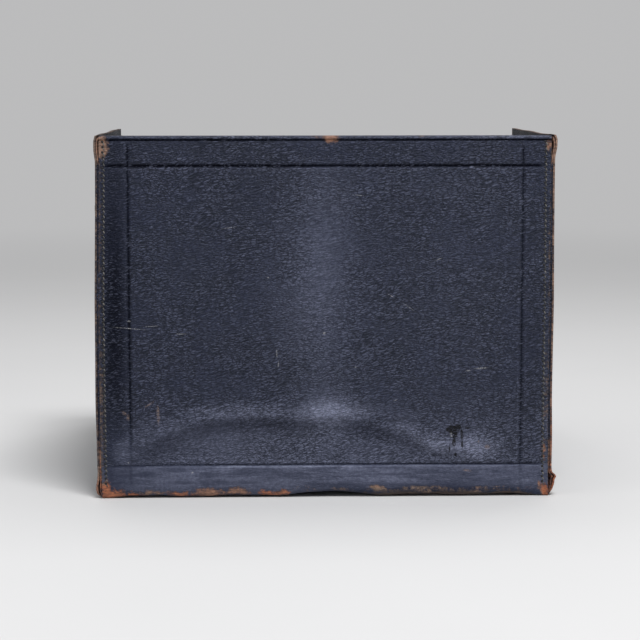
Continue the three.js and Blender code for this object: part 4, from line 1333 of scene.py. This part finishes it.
# Where points of a sharp-cornered tray (x, y and drop from its top) lie on the rounded one
def trayForm(x, y, drop, tray):
    r, e, wide, front = (tray[key] for key in ("cornerRadius", "edgeRadius", "halfWidth", "front"))
    far, sign = abs(x), np.where(x < 0, -1.0, 1.0)
    overX, overY = far - (wide - r), front + r - y
    corner = (overX > 0) & (overY > 0)
    spoke = np.maximum(np.hypot(overX, overY), 1e-9)
    sideNearer = wide - far < y - front
    nx = np.where(corner, overX / spoke, sideNearer * 1.0)
    ny = np.where(corner, -overY / spoke, sideNearer - 1.0)
    inset = np.where(corner, r - np.maximum(overX, overY), np.minimum(wide - far, y - front))
    edgeX = np.where(corner, wide - r + nx * r, np.where(sideNearer, wide, far))
    edgeY = np.where(corner, front + r + ny * r, np.where(sideNearer, y, front))
    run = np.where(drop > 0, e + np.minimum(drop, e), np.maximum(e - inset, 0))
    angle = run / (2 * e) * math.pi / 2
    nowInset = np.where(run > 0, e - e * np.sin(angle), inset)
    nowDrop = np.where(drop > e, drop, e - e * np.cos(angle))
    place = np.stack([sign * (edgeX - nx * nowInset), edgeY - ny * nowInset, tray["top"] - nowDrop], axis=1)
    normal = np.stack([sign * nx * np.sin(angle), ny * np.sin(angle), np.cos(angle)], axis=1)
    return place, normal


def trayShell(name, tray, columns, rows, drops, raised, material):
    index, points, quads = {}, [], []

    def corner(point):
        key = tuple(np.round(point, 4))
        if key not in index:
            index[key] = len(points)
            points.append(point)
        return index[key]

    def face(first, second, place):
        for a0, a1 in zip(first, first[1:]):
            for b0, b1 in zip(second, second[1:]):
                quads.append([corner(place(a, b)) for a, b in ((a0, b0), (a1, b0), (a1, b1), (a0, b1))])

    face(columns, rows, lambda x, y: (x, y, 0.0))
    face(columns, drops, lambda x, drop: (x, rows[0], drop))
    for x in (columns[0], columns[-1]):
        face(rows, drops, lambda y, drop: (x, y, drop))
    x, y, drop = np.array(points).T
    place, normal = trayForm(x, y, drop, tray)
    outer = place + normal * raised(x, y, drop)[:, None]
    inner = place - normal * tray["thickness"]
    count = len(points)
    edges = {}
    for quad in quads:
        for a, b in zip(quad, quad[1:] + quad[:1]):
            key = (min(a, b), max(a, b))
            edges[key] = edges.get(key, 0) + 1
    border = [[a, b, b + count, a + count] for (a, b), used in edges.items() if used == 1]
    under = [[corner + count for corner in reversed(quad)] for quad in quads]
    shape = turned(np.vstack([outer, inner]) * mm, lidTurn).tolist()
    made = addObject(name, outwardMesh(name, shape, quads + under + border), material)
    rim = np.where(drop > 1, np.minimum(tray["top"] - tray["foot"] - drop, tray["back"] - y), 99)
    paint(made, "rim", np.tile(rim, 2))
    return made, np.tile(x, 2), np.tile(y, 2), np.tile(drop, 2)


# Relief (mm) of the lid's tooled lines, sewn corners and bead
def lidMarks(x, y, drop):
    inX, inY = lidTray["halfWidth"] - lidTray["crease"], lidTray["front"] + lidTray["crease"]
    inBack = lidTray["back"] - lidTray["backCrease"]
    lines = np.maximum.reduce([bell(abs(x), inX, 0.55), bell(y, inY, 0.55), bell(y, inBack, 0.55)])
    lips = np.maximum.reduce([bell(abs(abs(x) - inX), 1.35, 0.6), bell(abs(y - inY), 1.35, 0.6)])
    seam = (abs(x) > lidTray["halfWidth"] - 0.01) & (y < lidTray["front"] + 0.01) & (drop > 2)
    tooled = (-lidTray["creaseDepth"] * lines + 0.18 * lips * (1 - lines)) * (drop <= 0)
    return tooled - 0.5 * seam - 0.32 * bell(drop, 6.0, 0.5)


# x, y, half width, half height (mm) and strength of hazy places on the lid's top
lidHazySpots = [
    (0, -4, 84, 20, 0.26), (0, 0, 200, 140, 0.10), (-92, 42, 44, 30, 0.14), (78, -52, 56, 28, 0.16),
    (20, 62, 60, 16, 0.12), (-60, -58, 30, 22, -0.12),
]


# Places across a tray: those of its middle, and those at the given insets from both sides
def columnsBetween(middle, edge, near):
    return sorted([*middle, *[sign * (edge - inset) for inset in near for sign in (-1, 1)]])


def buildLid():
    tray = lidTray
    wide, front, back, crease = (tray[key] for key in ("halfWidth", "front", "back", "crease"))
    depth = tray["top"] - tray["foot"]
    near = (0, 1.0, 2.0, 3.0, 4.2, 6.0)
    step, steps = tray["meshStep"], tray["creaseSteps"]
    columns = placesWithLines(-wide, wide, step, (crease - wide, wide - crease), steps)
    columns = columnsBetween(columns[abs(columns) < wide - 7], wide, near)
    rows = placesWithLines(front, back, step, (front + crease, back - tray["backCrease"]), steps)
    rows = sorted([*[front + inset for inset in near], *rows[rows > front + 7]])
    drops = [0, 1, 2, 3, 4.2, 5.2, 5.6, 6.0, 6.4, 6.8, 8, 10.5, 13, 15.5, 18, 20, 21.6, 22.6, 23.3, depth]
    made, x, y, drop = trayShell("lidLeather", tray, columns, rows, drops, lidMarks, navyHide)
    edge = np.where(drop > 0, drop, np.minimum(wide - abs(x), y - front))
    corner = smoothRamp(abs(x), 136, 146) * smoothRamp(-y, 94, 104)
    rubbed = bell(edge, 0.6, 1.6) * (0.30 + 0.16 * np.sin(x * 0.07) + 0.14 * np.sin(y * 0.11 + 1))
    cornerWear = 0.62 * corner * bell(edge, 0, 8) + 0.5 * corner * smoothRamp(drop, 16, 24)
    paint(made, "wear", np.maximum(rubbed, cornerWear))
    paint(made, "ember", 0.3 * corner)
    handled = spotted(x, y, lidHazySpots) * (drop <= 0)
    paint(made, "pale", 0.22 * bell(edge, 2, 5) + 0.12 * (drop > 4) + handled)
    paint(made, "sheen", 0.5 * bell(edge, 2, 3))
    settleIn(bevelled(made, 0.4 * mm), "lid", "lid_leather")


def buildLidLining():
    tray = liningTray
    near = (0, 0.4, 0.8, 1.2, 2.2, 3.3)
    deep = tray["top"] - tray["foot"]
    columns = columnsBetween(np.linspace(-137, 137, 64), tray["halfWidth"], near)
    rows = sorted([*[tray["front"] + inset for inset in near], *np.linspace(-94, tray["back"], 46)])
    drops = [0, 0.4, 0.8, 1.2, 2.4, 4.5, 7, 9.5, 12, 14.5, 16, deep]
    swell = lambda x, y, drop: 0.12 * np.sin(x * 0.05 + 1) * np.sin(y * 0.06) * (drop <= 0)
    made = trayShell("lidLining", tray, columns, rows, drops, swell, liningCloth)[0]
    settleIn(bevelled(made, 0.2 * mm), "lid", "lid_lining")


# Points on the tray's walls and their outward directions, going round from the back left to the
# back right, at a drop from its top
def roundTray(tray, drop, step=2.5, clear=3.0):
    wide, front, back = tray["halfWidth"], tray["front"], tray["back"]
    around = [(-wide, y) for y in np.arange(back - clear, front + 0.01, -step)]
    around += [(x, front) for x in np.arange(-wide, wide + 0.01, step)]
    around += [(wide, y) for y in np.arange(front, back - clear + 0.01, step)]
    x, y = np.array(around).T
    place, normal = trayForm(x, y, np.full(len(x), drop), tray)
    keep = np.concatenate([[True], np.linalg.norm(np.diff(place, axis=0), axis=1) > 0.05])
    return turned(place[keep] * mm, lidTurn), normal[keep] @ lidSpin.T


def buildLidStitches():
    r, level = lidTray["cornerRadius"], lidTray["foot"] + lidTray["stitchInset"]
    foot = lidTray["top"] - level
    inside = {**liningTray, "halfWidth": 143.6, "front": -101.5, "cornerRadius": 2.5}
    points, outward = roundTray(inside, inside["top"] - level)
    lines = [roundTray(lidTray, foot), (points, -outward)]
    for side in (-1, 1):
        for angle in np.radians((18, 72)):
            nx, ny = side * math.sin(angle), -math.cos(angle)
            x = side * (lidTray["halfWidth"] - r) + nx * r
            y = lidTray["front"] + r + ny * r
            points = np.array([(x, y, lidTray["top"] - drop) for drop in np.linspace(5, foot - 3, 8)])
            lines.append((turned(points * mm, lidTurn), lidSpin @ (nx, ny, 0)))
    stitchRows("lidStitches", lines, {**saddleStitch, "Seed": 2}, "lid")


buildLid()
buildLidLining()
buildLidStitches()
print("lid built")


# Carrying handle: a stuffed, stitched grip with a leather loop at each end

grip = {
    "halfWidth": 8.5, "flange": 1.7, "flangeWidth": 2.1, "loopMiddle": 56.0, "loopRadius": 4.4,
    "eye": 2.0, "level": 261.8, "arch": 1.6, "crown": 3.3, "bandHalfWidth": 6.0, "sleeve": 3.5,
    "endSteps": (47.4, 49, 50.6, 51.8, 52.6, 53),  # mesh lines near its ends, in mm from its middle
    "edgeSteps": (0.79, 0.84, 0.9, 0.95, 0.985, 1),  # and near its edges, as shares of its half width
}


# Height of the grip's middle, and half its thickness, at x in mm
def gripLevels(x):
    bow = 1 - (np.minimum(abs(x), grip["loopMiddle"]) / grip["loopMiddle"]) ** 2
    under, over = -grip["loopRadius"] + grip["arch"] * bow, grip["loopRadius"] + grip["crown"] * bow
    return grip["level"] + (under + over) / 2, (over - under) / 2


def gripWidth(x):
    return grip["halfWidth"] - 1.5 * smoothRamp(abs(x), 36, 53)


# Points drawn with the handle shut and level, y from its swing line, as they lie on the open case
def onHandle(x, y, z):
    points = np.stack(np.broadcast_arrays(x, y + handleLine.y / mm, z), axis=-1)
    return turned(points.reshape(-1, 3) * mm, handleTurn).reshape(points.shape)


def buildGrip():
    ends, edges = np.array(grip["endSteps"]), np.array(grip["edgeSteps"])
    xs = np.concatenate([-ends[::-1], np.linspace(-46.2, 46.2, 64), ends])
    vs = np.concatenate([-edges[::-1], np.linspace(-0.74, 0.74, 25), edges])
    v, x = np.meshgrid(vs, xs)
    endRound = np.sqrt(np.maximum(1 - smoothRamp(abs(x), 50.5, 54.5) * 0.5, 0))
    y = v * gripWidth(x) * endRound
    middle, half = gripLevels(x)
    core = gripWidth(x) - grip["flangeWidth"]
    dome = np.maximum(1 - (abs(y) / core).clip(0, 1) ** 2.4, 0) ** 0.62
    dome = dome * np.sqrt(smoothRamp(-abs(x), -47.2, -41.0))
    crease = 0.35 * bell(abs(y), core + 0.25, 0.45) * (abs(x) < 47)
    thick = grip["flange"] - crease + (half - grip["flange"]) * dome
    level = middle + 0.12 * np.sin(x * 0.35) * dome
    made = closedSheet("handleGrip", onHandle(x, y, level + thick), onHandle(x, y, level - thick), navyHandle)
    wear = 0.40 * dome**2 * bell(x, 0, 30) + 0.42 * smoothRamp(abs(v), 0.9, 1)
    paint(made, "wear", np.tile(wear.ravel(), 2))
    paint(made, "sheen", np.tile(0.9 * dome.ravel(), 2))
    settleIn(bevelled(made, 0.5 * mm), "handle", "handle_grip")


def buildGripLoops():
    angles = np.radians(np.linspace(112, -112, 25))
    run = np.array([47.2, 48, 49, 50.2, 51.4])
    stations = np.concatenate([[-1, -0.93], np.linspace(-0.85, 0.85, 9), [0.93, 1]]) * grip["bandHalfWidth"]
    for side, label in ((-1, "left"), (1, "right")):
        grids = []
        for radius, tail in ((grip["loopRadius"], 3.55), (grip["eye"], 1.72)):
            arc = np.stack([grip["loopMiddle"] + radius * np.cos(angles), radius * np.sin(angles)], axis=1)
            level = np.interp(run, [47.2, 51.4, 54], [tail, tail + 0.15, radius * 0.93])
            thin = 1 - 0.55 * smoothRamp(-run, -48.4, -47.2) * (radius > 3)
            head = np.stack([run, level * thin + (1 - thin) * 1.9], axis=1)
            path = np.vstack([head, arc, head[::-1] * (1, -1)])
            x, y = np.meshgrid(side * path[:, 0], stations)
            grids.append(onHandle(x, y, gripLevels(x)[0] + path[None, :, 1]))
        made = closedSheet(label + "GripLoop", *grids, navyHandle)
        paint(made, "wear", 0.16)
        settleIn(bevelled(made, 0.45 * mm), "handle")


def buildGripStitches():
    lines = []
    across, length = np.linspace(-4.9, 4.9, 5), np.linspace(-51, 51, 60)
    for side in (-1, 1):
        for face in (-1, 1):
            for x in (side * 48.7, side * 51.0):
                level = gripLevels(x)[0] + face * grip["sleeve"]
                lines.append((onHandle(x, across, level), handleSpin @ (0, 0, face)))
    for face in (-1, 1):
        for side in (-1, 1):
            edge = onHandle(length, side * (gripWidth(length) - 1.15), gripLevels(length)[0] + face * grip["flange"])
            lines.append((edge, handleSpin @ (0, 0, face)))
    finer = {**saddleStitch, "Pitch": 2.6 * mm, "Length": 1.8 * mm, "Thickness": 0.6 * mm, "Seed": 3}
    stitchRows("handleStitches", lines, finer, "handle")


buildGrip()
buildGripLoops()
buildGripStitches()
print("handle built")


# Chapes: leather tabs on the side walls, looped over the strap rings

chape = {
    "inner": 143.3, "leather": 1.8, "eye": 2.0, "level": 158.0, "middle": 8.0, "halfWidth": 10.0,
    "foot": 122.0, "rounding": 3.0,
    # y from the middle and z of the stitching round the tab, and then across it below the loop
    "stitches": (((-8, 151), (-8, 126), (-6, 124), (6, 124), (8, 126), (8, 151)), ((-8, 152.6), (8, 152.6))),
}


def buildChapes():
    inner, leather, eye = chape["inner"], chape["leather"], chape["eye"]
    rounding, loop = chape["rounding"], eye + leather
    stations = np.concatenate([[-1, -0.96, -0.9], np.linspace(-0.8, 0.8, 9), [0.9, 0.96, 1]])
    heights = np.concatenate([chape["foot"] + np.array([0, 0.4, 1, 2, 3]), np.linspace(127, 156, 15)])
    low = np.clip(chape["foot"] + rounding - heights, 0, rounding)
    half = chape["halfWidth"] - (rounding - np.sqrt(rounding**2 - low**2))
    lines = []
    for side, label in ((-1, "left"), (1, "right")):
        grids = []
        for level, radius in ((inner + leather, eye), (inner, loop)):
            arc = arcPath(inner + loop, chape["level"], radius, 0, 300, 34)
            path = np.vstack([[(level, z) for z in heights], arc])
            halves = np.concatenate([half, np.full(len(arc), chape["halfWidth"])])
            y = chape["middle"] + halves[:, None] * stations[None, :]
            grids.append(np.stack(np.broadcast_arrays(side * path[:, :1], y, path[:, 1:]), axis=2) * mm)
        made = closedSheet(label + "Chape", *grids, navyHandle)
        paint(made, "wear", 0.42 * smoothRamp(meshPoints(made)[:, 2] / mm, 159, 162))
        settleIn(bevelled(made, 0.35 * mm), "case_body", label + "_ring_chape")
        for row in chape["stitches"]:
            points = [(side * (inner + leather) * mm, (chape["middle"] + y) * mm, z * mm) for y, z in row]
            lines.append((points, (side, 0, 0)))
    shorter = {**saddleStitch, "Seed": 4, "Pitch": 2.8 * mm, "Length": 2.0 * mm}
    stitchRows("chapeStitches", lines, shorter, "case_body")


buildChapes()
print("chapes built")


# Metal parts keep the CAD's form, with eased edges

def refined(cadName, material, ease, moved=False):
    mesh = frame["nodes"][cadName].data.copy()
    work = bmesh.new()
    work.from_mesh(mesh)
    bmesh.ops.remove_doubles(work, verts=work.verts, dist=0.002 * mm)
    bmesh.ops.dissolve_limit(work, angle_limit=math.radians(1.5), verts=work.verts, edges=work.edges)
    work.to_mesh(mesh)
    work.free()
    for layer in [item for item in mesh.attributes if item.name.startswith("custom_normal")]:
        mesh.attributes.remove(layer)
    mesh.materials.clear()
    first, *others = cadName.split("_")
    made = addObject(first + "".join(word.capitalize() for word in others), mesh, material)
    if moved:
        settled(made)
    bevelled(made, ease * mm, segments=3, limit=38)
    made.modifiers.new("evenShading", "WEIGHTED_NORMAL").keep_sharp = True
    return settleIn(made, frame["nodes"][cadName]["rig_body"], cadName)


platedParts = {  # how far (mm) each part's edges are eased
    "catch_body": 0.28, "catch_button": 0.3, "strap_ring": 0.05, "handle_staple": 0.3,
    "handle_ring": 0.05, "hasp_bracket": 0.28, "hasp": 0.32,
}
buttonTravel = 4  # mm of button travel, from which each catch spring's shortened share is worked out
for cadName in ("front_partition_rail", "back_partition_rail"):
    refined(cadName, railWood, 0.35, moved=True)
for end in ("left", "right"):
    for part, ease in platedParts.items():
        refined(f"{end}_{part}", platedMetal, ease)
    spring = refined(f"{end}_catch_spring", pinSteel, 0.04)
    refined(f"{end}_hasp_pin", pinSteel, 0.15)
    foot, head = (fit(point[2] for point in meshPoints(spring)) for fit in (min, max))
    share = (head - foot - buttonTravel * mm) / (head - foot)
    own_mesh(spring)


# Rivets and screws: one head each, repeated by Geometry Nodes along points with an outward direction

def fastenerTree():
    tree, given, result = newGroup(
        "fastenerSet", "GeometryNodeTree",
        [("Geometry", "Geometry"), ("Head", "Object"), ("Size", "Float"), ("Turn", "Float"), ("Seed", "Int"),
         ("Metal", "Material")],
        [("Geometry", "Geometry")],
    )
    head = wire(tree, "GeometryNodeObjectInfo", {"Object": given["Head"]}, "Geometry")
    aimed = wire(tree, "FunctionNodeAlignRotationToVector", {"Vector": outwardOf(tree)}, axis="Z")
    posed = spun(tree, aimed, randomFloat(tree, 0.0, given["Turn"], given["Seed"]))
    inputs = {"Points": given["Geometry"], "Instance": head, "Rotation": posed, "Scale": given["Size"]}
    placed = wire(tree, "GeometryNodeInstanceOnPoints", inputs)
    plug(coloured(wire(tree, "GeometryNodeRealizeInstances", {0: placed}), given["Metal"]), result[0])
    return tree


# A domed head one unit in radius, closed below, with a slot when it is a screw
def headTemplate(name, height, slotHalf=0.0):
    rings = [0.12, 0.25, 0.38, 0.5, 0.62, 0.74, 0.84, 0.92, 0.97, 1.0]
    count = 40
    points = [(0, 0, height * (0.5 if slotHalf else 1.0))]
    for radius in rings:
        for k in range(count):
            a = 2 * math.pi * k / count
            x, y = radius * math.cos(a), radius * math.sin(a)
            z = height * math.sqrt(max(1 - radius**2, 0)) * 0.9 + 0.1 * height * (radius < 1)
            points.append((x, y, min(z, height * 0.5) if abs(y) < slotHalf else z))
    foot = len(points)
    last = foot - count
    points += [(x, y, -0.3) for x, y, _ in points[last:]]
    starts = list(range(1, foot + count, count))
    faces = [(0, 1 + k, 1 + (k + 1) % count) for k in range(count)]
    for a, b in zip(starts, starts[1:]):
        faces += [(a + k, b + k, b + (k + 1) % count, a + (k + 1) % count) for k in range(count)]
    faces.append(tuple(reversed(range(foot, foot + count))))
    mesh = bpy.data.meshes.new(name)
    mesh.from_pydata(points, [], faces)
    return linked(name, mesh)


fastenerNodes = fastenerTree()


# Places are pairs of a point in metres and its outward direction
def fastenerSet(name, places, head, size, body, seed):
    points, outward = zip(*places)
    values = {"Head": head, "Size": size * mm, "Turn": 3.14, "Seed": seed, "Metal": platedMetal}
    made = madeByNodes(pointSource(name + "Points", points, [], outward), fastenerNodes, values, name)
    made.data.polygons.foreach_set("use_smooth", [True] * len(made.data.polygons))
    settleIn(made, body)


def onSide(side, x, y, z):
    return (side * x * mm, y * mm, z * mm), (side, 0, 0)


def onLid(x, y, z, way):
    return turned([np.array((x, y, z)) * mm], lidTurn)[0], lidSpin @ way


def buildFasteners():
    screw, rivet = headTemplate("screwHead", 0.5, 0.17), headTemplate("rivetHead", 0.55)
    sides = (-1, 1)
    catchY, handleY = -28, handleLine.y / mm
    plate = [onSide(s, 144.3, catchY + a, z) for s in sides for a in (-10.6, 10.6) for z in (163.2, 202.8)]
    tabs = [onSide(s, 145.1, chape["middle"], 129.5) for s in sides]
    bracket = [onLid(s * 148.6, catchY + a, 225.2, (s, 0, 0)) for s in sides for a in (-8.6, 0, 8.6)]
    bases = [onLid(s * 56 + a, handleY, 234.6, (0, 0, 1)) for s in sides for a in (-11.4, 11.4)]
    fastenerSet("catchScrews", plate, screw, 1.55, "case_body", 5)
    fastenerSet("chapeRivets", tabs, rivet, 2.3, "case_body", 6)
    fastenerSet("bracketRivets", bracket, rivet, 1.7, "lid", 7)
    fastenerSet("stapleScrews", bases, screw, 1.8, "lid", 8)
    for template in (screw, rivet):
        bpy.data.objects.remove(template)


buildFasteners()
print("metal parts built")


# Light, floor and view

backdrop = (0.50, 0.50, 0.505)
lamps = {  # place, what it is aimed at, size (metres) and power
    "keyLight": ((0.30, -0.90, 1.95), (0, -0.1, 0.1), (0.7, 0.7), 38),
    "topLight": ((0.1, 0.6, 2.0), (0, 0, 0.1), (1.6, 1.0), 12),
    "leftFill": ((-1.8, -1.0, 0.9), (0, 0, 0.1), (1.0, 1.4), 5),
}


def buildStage(size):
    mesh = bpy.data.meshes.new("studioFloor")
    mesh.from_pydata([(-size, -size, 0), (size, -size, 0), (size, size, 0), (-size, size, 0)], [], [(0, 1, 2, 3)])
    material, tree, shader, place = newMaterial("paleFloor")
    plug(blend(noise(place, 3.0, 4.0), (0.60, 0.60, 0.605), (0.64, 0.64, 0.645)), shader.inputs["Base Color"])
    shader.inputs["Roughness"].default_value = 0.75
    share = remap(distance(place), 0.55, 2.6) * wire(tree, "ShaderNodeLightPath", output="Is Camera Ray")
    distant = wire(tree, "ShaderNodeEmission", {"Color": (*backdrop, 1), "Strength": 1.0})
    mix = wire(tree, "ShaderNodeMixShader", {0: share, 1: Wire(tree, shader.outputs[0]), 2: distant})
    plug(mix, tree.nodes["Material Output"].inputs["Surface"])
    mesh.materials.append(material)
    linked("studioFloor", mesh)


def buildWorld(ambient):
    world = bpy.data.worlds.new("studioWorld")
    bpy.context.scene.world = world
    world.use_nodes = True
    tree = world.node_tree
    tree.nodes.clear()
    light = wire(tree, "ShaderNodeBackground", {"Color": (1, 1, 1, 1), "Strength": ambient})
    seen = wire(tree, "ShaderNodeBackground", {"Color": (*backdrop, 1), "Strength": 1.0})
    path = node(tree, "ShaderNodeLightPath").outputs
    shown = larger(*[Wire(tree, path[f"Is {kind} Ray"]) for kind in ("Camera", "Glossy", "Transmission")])
    mix = wire(tree, "ShaderNodeMixShader", {0: shown, 1: light, 2: seen})
    node(tree, "ShaderNodeOutputWorld", {"Surface": mix})


buildCamera(cameraSettings)
buildStage(6)
buildWorld(0.33)
for name, settings in lamps.items():
    softLight(name, *settings)
bpy.context.scene.view_settings.view_transform = "Standard"

print("scene done")
